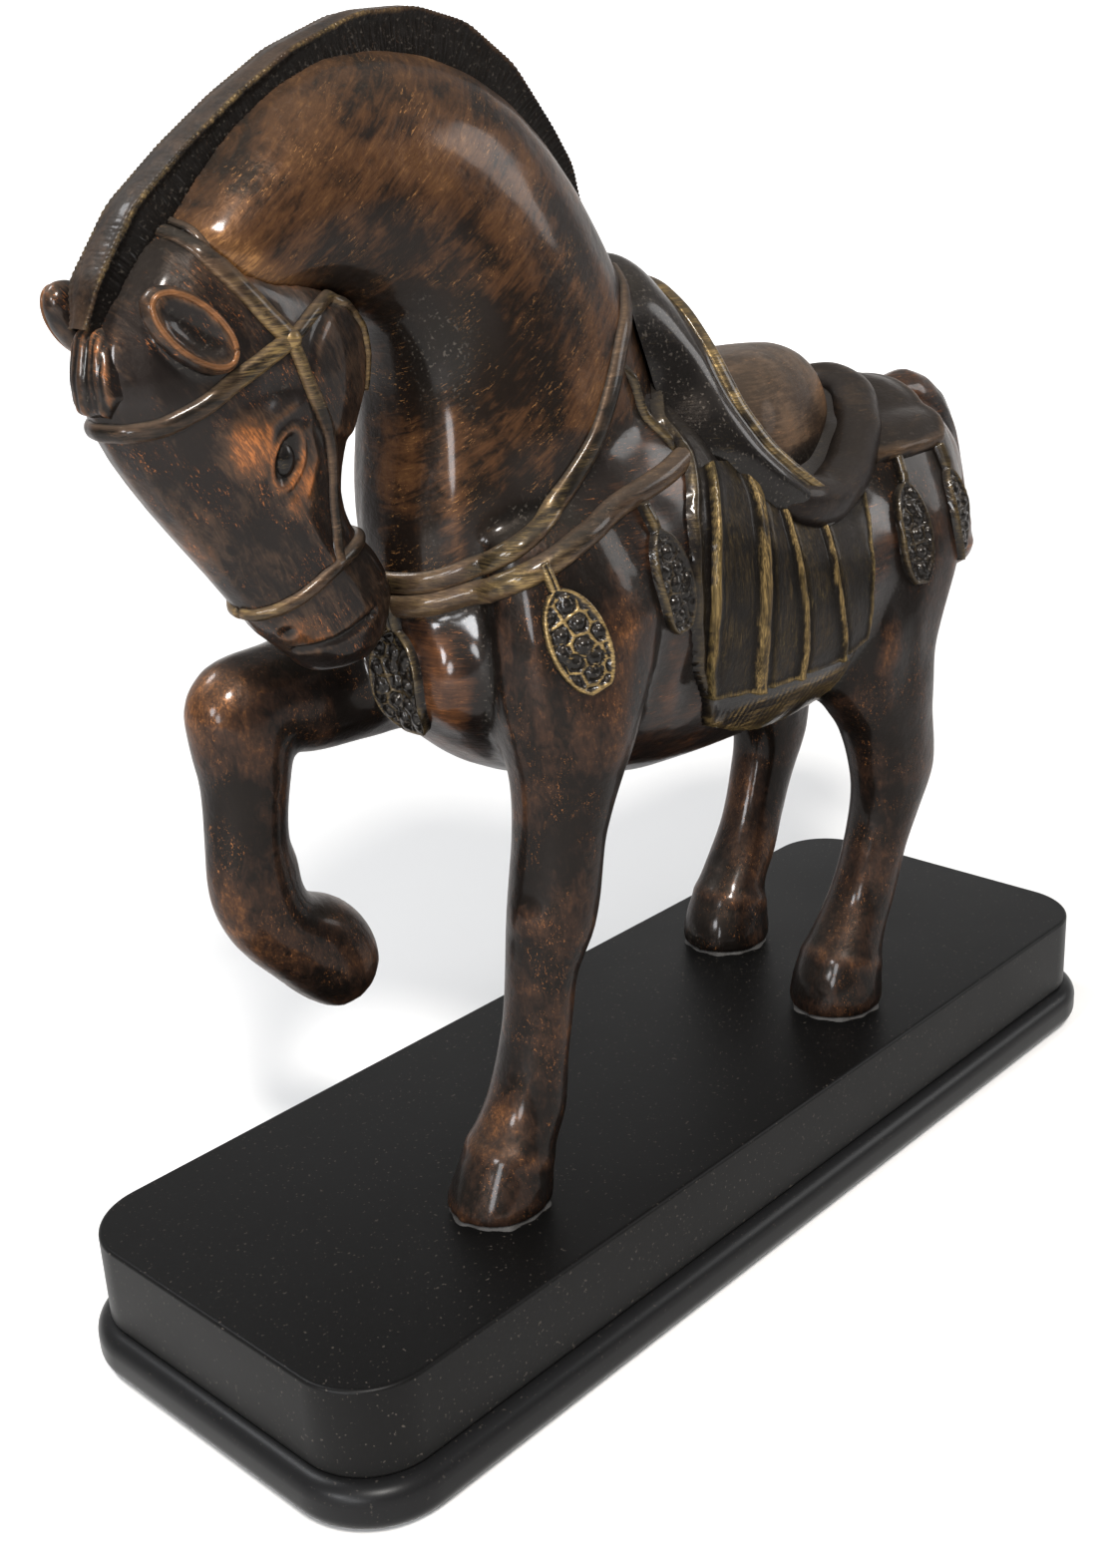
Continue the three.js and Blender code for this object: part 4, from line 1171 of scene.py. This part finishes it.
HALF_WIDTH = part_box("plinth_block")[1].y / MM
slab("block", "plinth_block", 0.8, BLOCK, capped=True)
slab("moulding", "plinth_moulding", 3.6, MOULDING, capped=False)


def glue_ring(number, x, y):
    """A thin broken line of glue round the foot of a standing hoof."""
    angle = full_turn(160)
    out = np.stack([np.cos(angle), np.sin(angle), 0 * angle], 1)
    centre = np.array([x, y, DECK + 0.7])
    edge = cast(body_tree, centre + HOOF_REACH * out, -out)[0]
    size = 0.35 + 0.3 * np.sin(5 * angle + number) + 0.25 * np.sin(11 * angle + 3 * number)
    size = np.clip(size, 0, 1)[:, None]
    up = np.array([0, 0, 1.0])
    points = np.stack([edge - 0.4 * out + up * size * 0.9, edge + up * (0.75 * size - 0.5),
                       edge + out * size - 0.75 * up], 1)
    make_object(f"glue_{number}", points, grid_faces(160, 3, True), GLUE, "black_wood")


for number, (x, y) in enumerate(HOOVES):
    glue_ring(number, x, y)


# ---- Camera, light and floor ----
def stage():
    """A pale floor that curves up far away, so that no horizon shows."""
    radii = np.concatenate([np.linspace(0, 2.5, 12), np.linspace(2.6, 4.5, 40)])
    heights = 2.0 * np.clip((radii - 2.5) / 2.0, 0, 1) ** 2
    turn = full_turn(96)
    points = np.stack([np.outer(radii, np.cos(turn)), np.outer(radii, np.sin(turn)),
                       np.repeat(heights[:, None], len(turn), 1)], -1)
    mesh = bpy.data.meshes.new("floor")
    faces = grid_faces(len(radii), len(turn), False, True)
    mesh.from_pydata(points.reshape(-1, 3).tolist(), [], faces.tolist())
    n = Nodes("floor_paint")
    paint = n.blend(n.noise(3), (0.68, 0.675, 0.665), (0.72, 0.715, 0.71))
    n.feed(n.shader, {"Base Color": paint, "Roughness": 0.8})
    mesh.materials.append(n.material)
    mesh.shade_smooth()
    floor = bpy.data.objects.new("floor", mesh)
    bpy.context.scene.collection.objects.link(floor)


def lamp(name, place, target, size, watts, colour=(1, 1, 1)):
    data = bpy.data.lights.new(name, "AREA")
    data.shape = "DISK"
    data.size = size
    data.energy = watts
    data.color = colour
    light = bpy.data.objects.new(name, data)
    light.location = place
    light.rotation_euler = (Vector(target) - Vector(place)).to_track_quat("-Z", "Y").to_euler()
    bpy.context.scene.collection.objects.link(light)


def lights():
    middle = (0, 0, 0.12)
    cool = (0.95, 0.97, 1.0)
    lamp("key", (-0.55, -0.65, 0.95), middle, 0.2, 22, (1.0, 0.97, 0.93))
    lamp("window", (-1.05, -0.15, 0.42), middle, 0.22, 7, cool)
    lamp("low", (-1.0, -0.43, 0.24), middle, 0.22, 4.5, cool)
    lamp("top", (-0.35, 0.6, 0.95), middle, 0.25, 7, cool)
    lamp("fill", (0.9, -0.7, 0.6), middle, 0.5, 5)
    lamp("backdrop", (1.1, 1.1, 1.7), (2.4, 2.4, 0.3), 1.5, 110)
    world = bpy.data.worlds.new("room")
    world.use_nodes = True
    background = world.node_tree.nodes["Background"]
    background.inputs["Color"].default_value = (0.93, 0.94, 0.96, 1)
    background.inputs["Strength"].default_value = 0.42
    bpy.context.scene.world = world
    bpy.context.scene.view_settings.view_transform = "Standard"


def camera():
    """Held by hand a little over 40 cm from the horse's left front, tipped down and slightly rolled."""
    data = bpy.data.cameras.new("camera")
    data.sensor_width = 36
    data.lens = 41.44
    data.clip_start = 0.01
    view = bpy.data.objects.new("camera", data)
    right = Vector((0.6824, -0.7293, -0.0496))
    up = Vector((0.2930, 0.2106, 0.9326))
    back = Vector((-0.6697, -0.6510, 0.3574))
    turn = Matrix((right, up, back)).transposed().to_4x4()
    view.matrix_world = Matrix.Translation(Vector((-271.9, -238.5, 232.5)) * MM) @ turn
    bpy.context.scene.collection.objects.link(view)
    bpy.context.scene.camera = view


use("felt_pad", FELT)
for screw in ("screw_left_fore", "screw_left_hind", "screw_right_hind"):
    use(screw, STEEL)
stage()
lights()
camera()

bpy.context.view_layer.update()
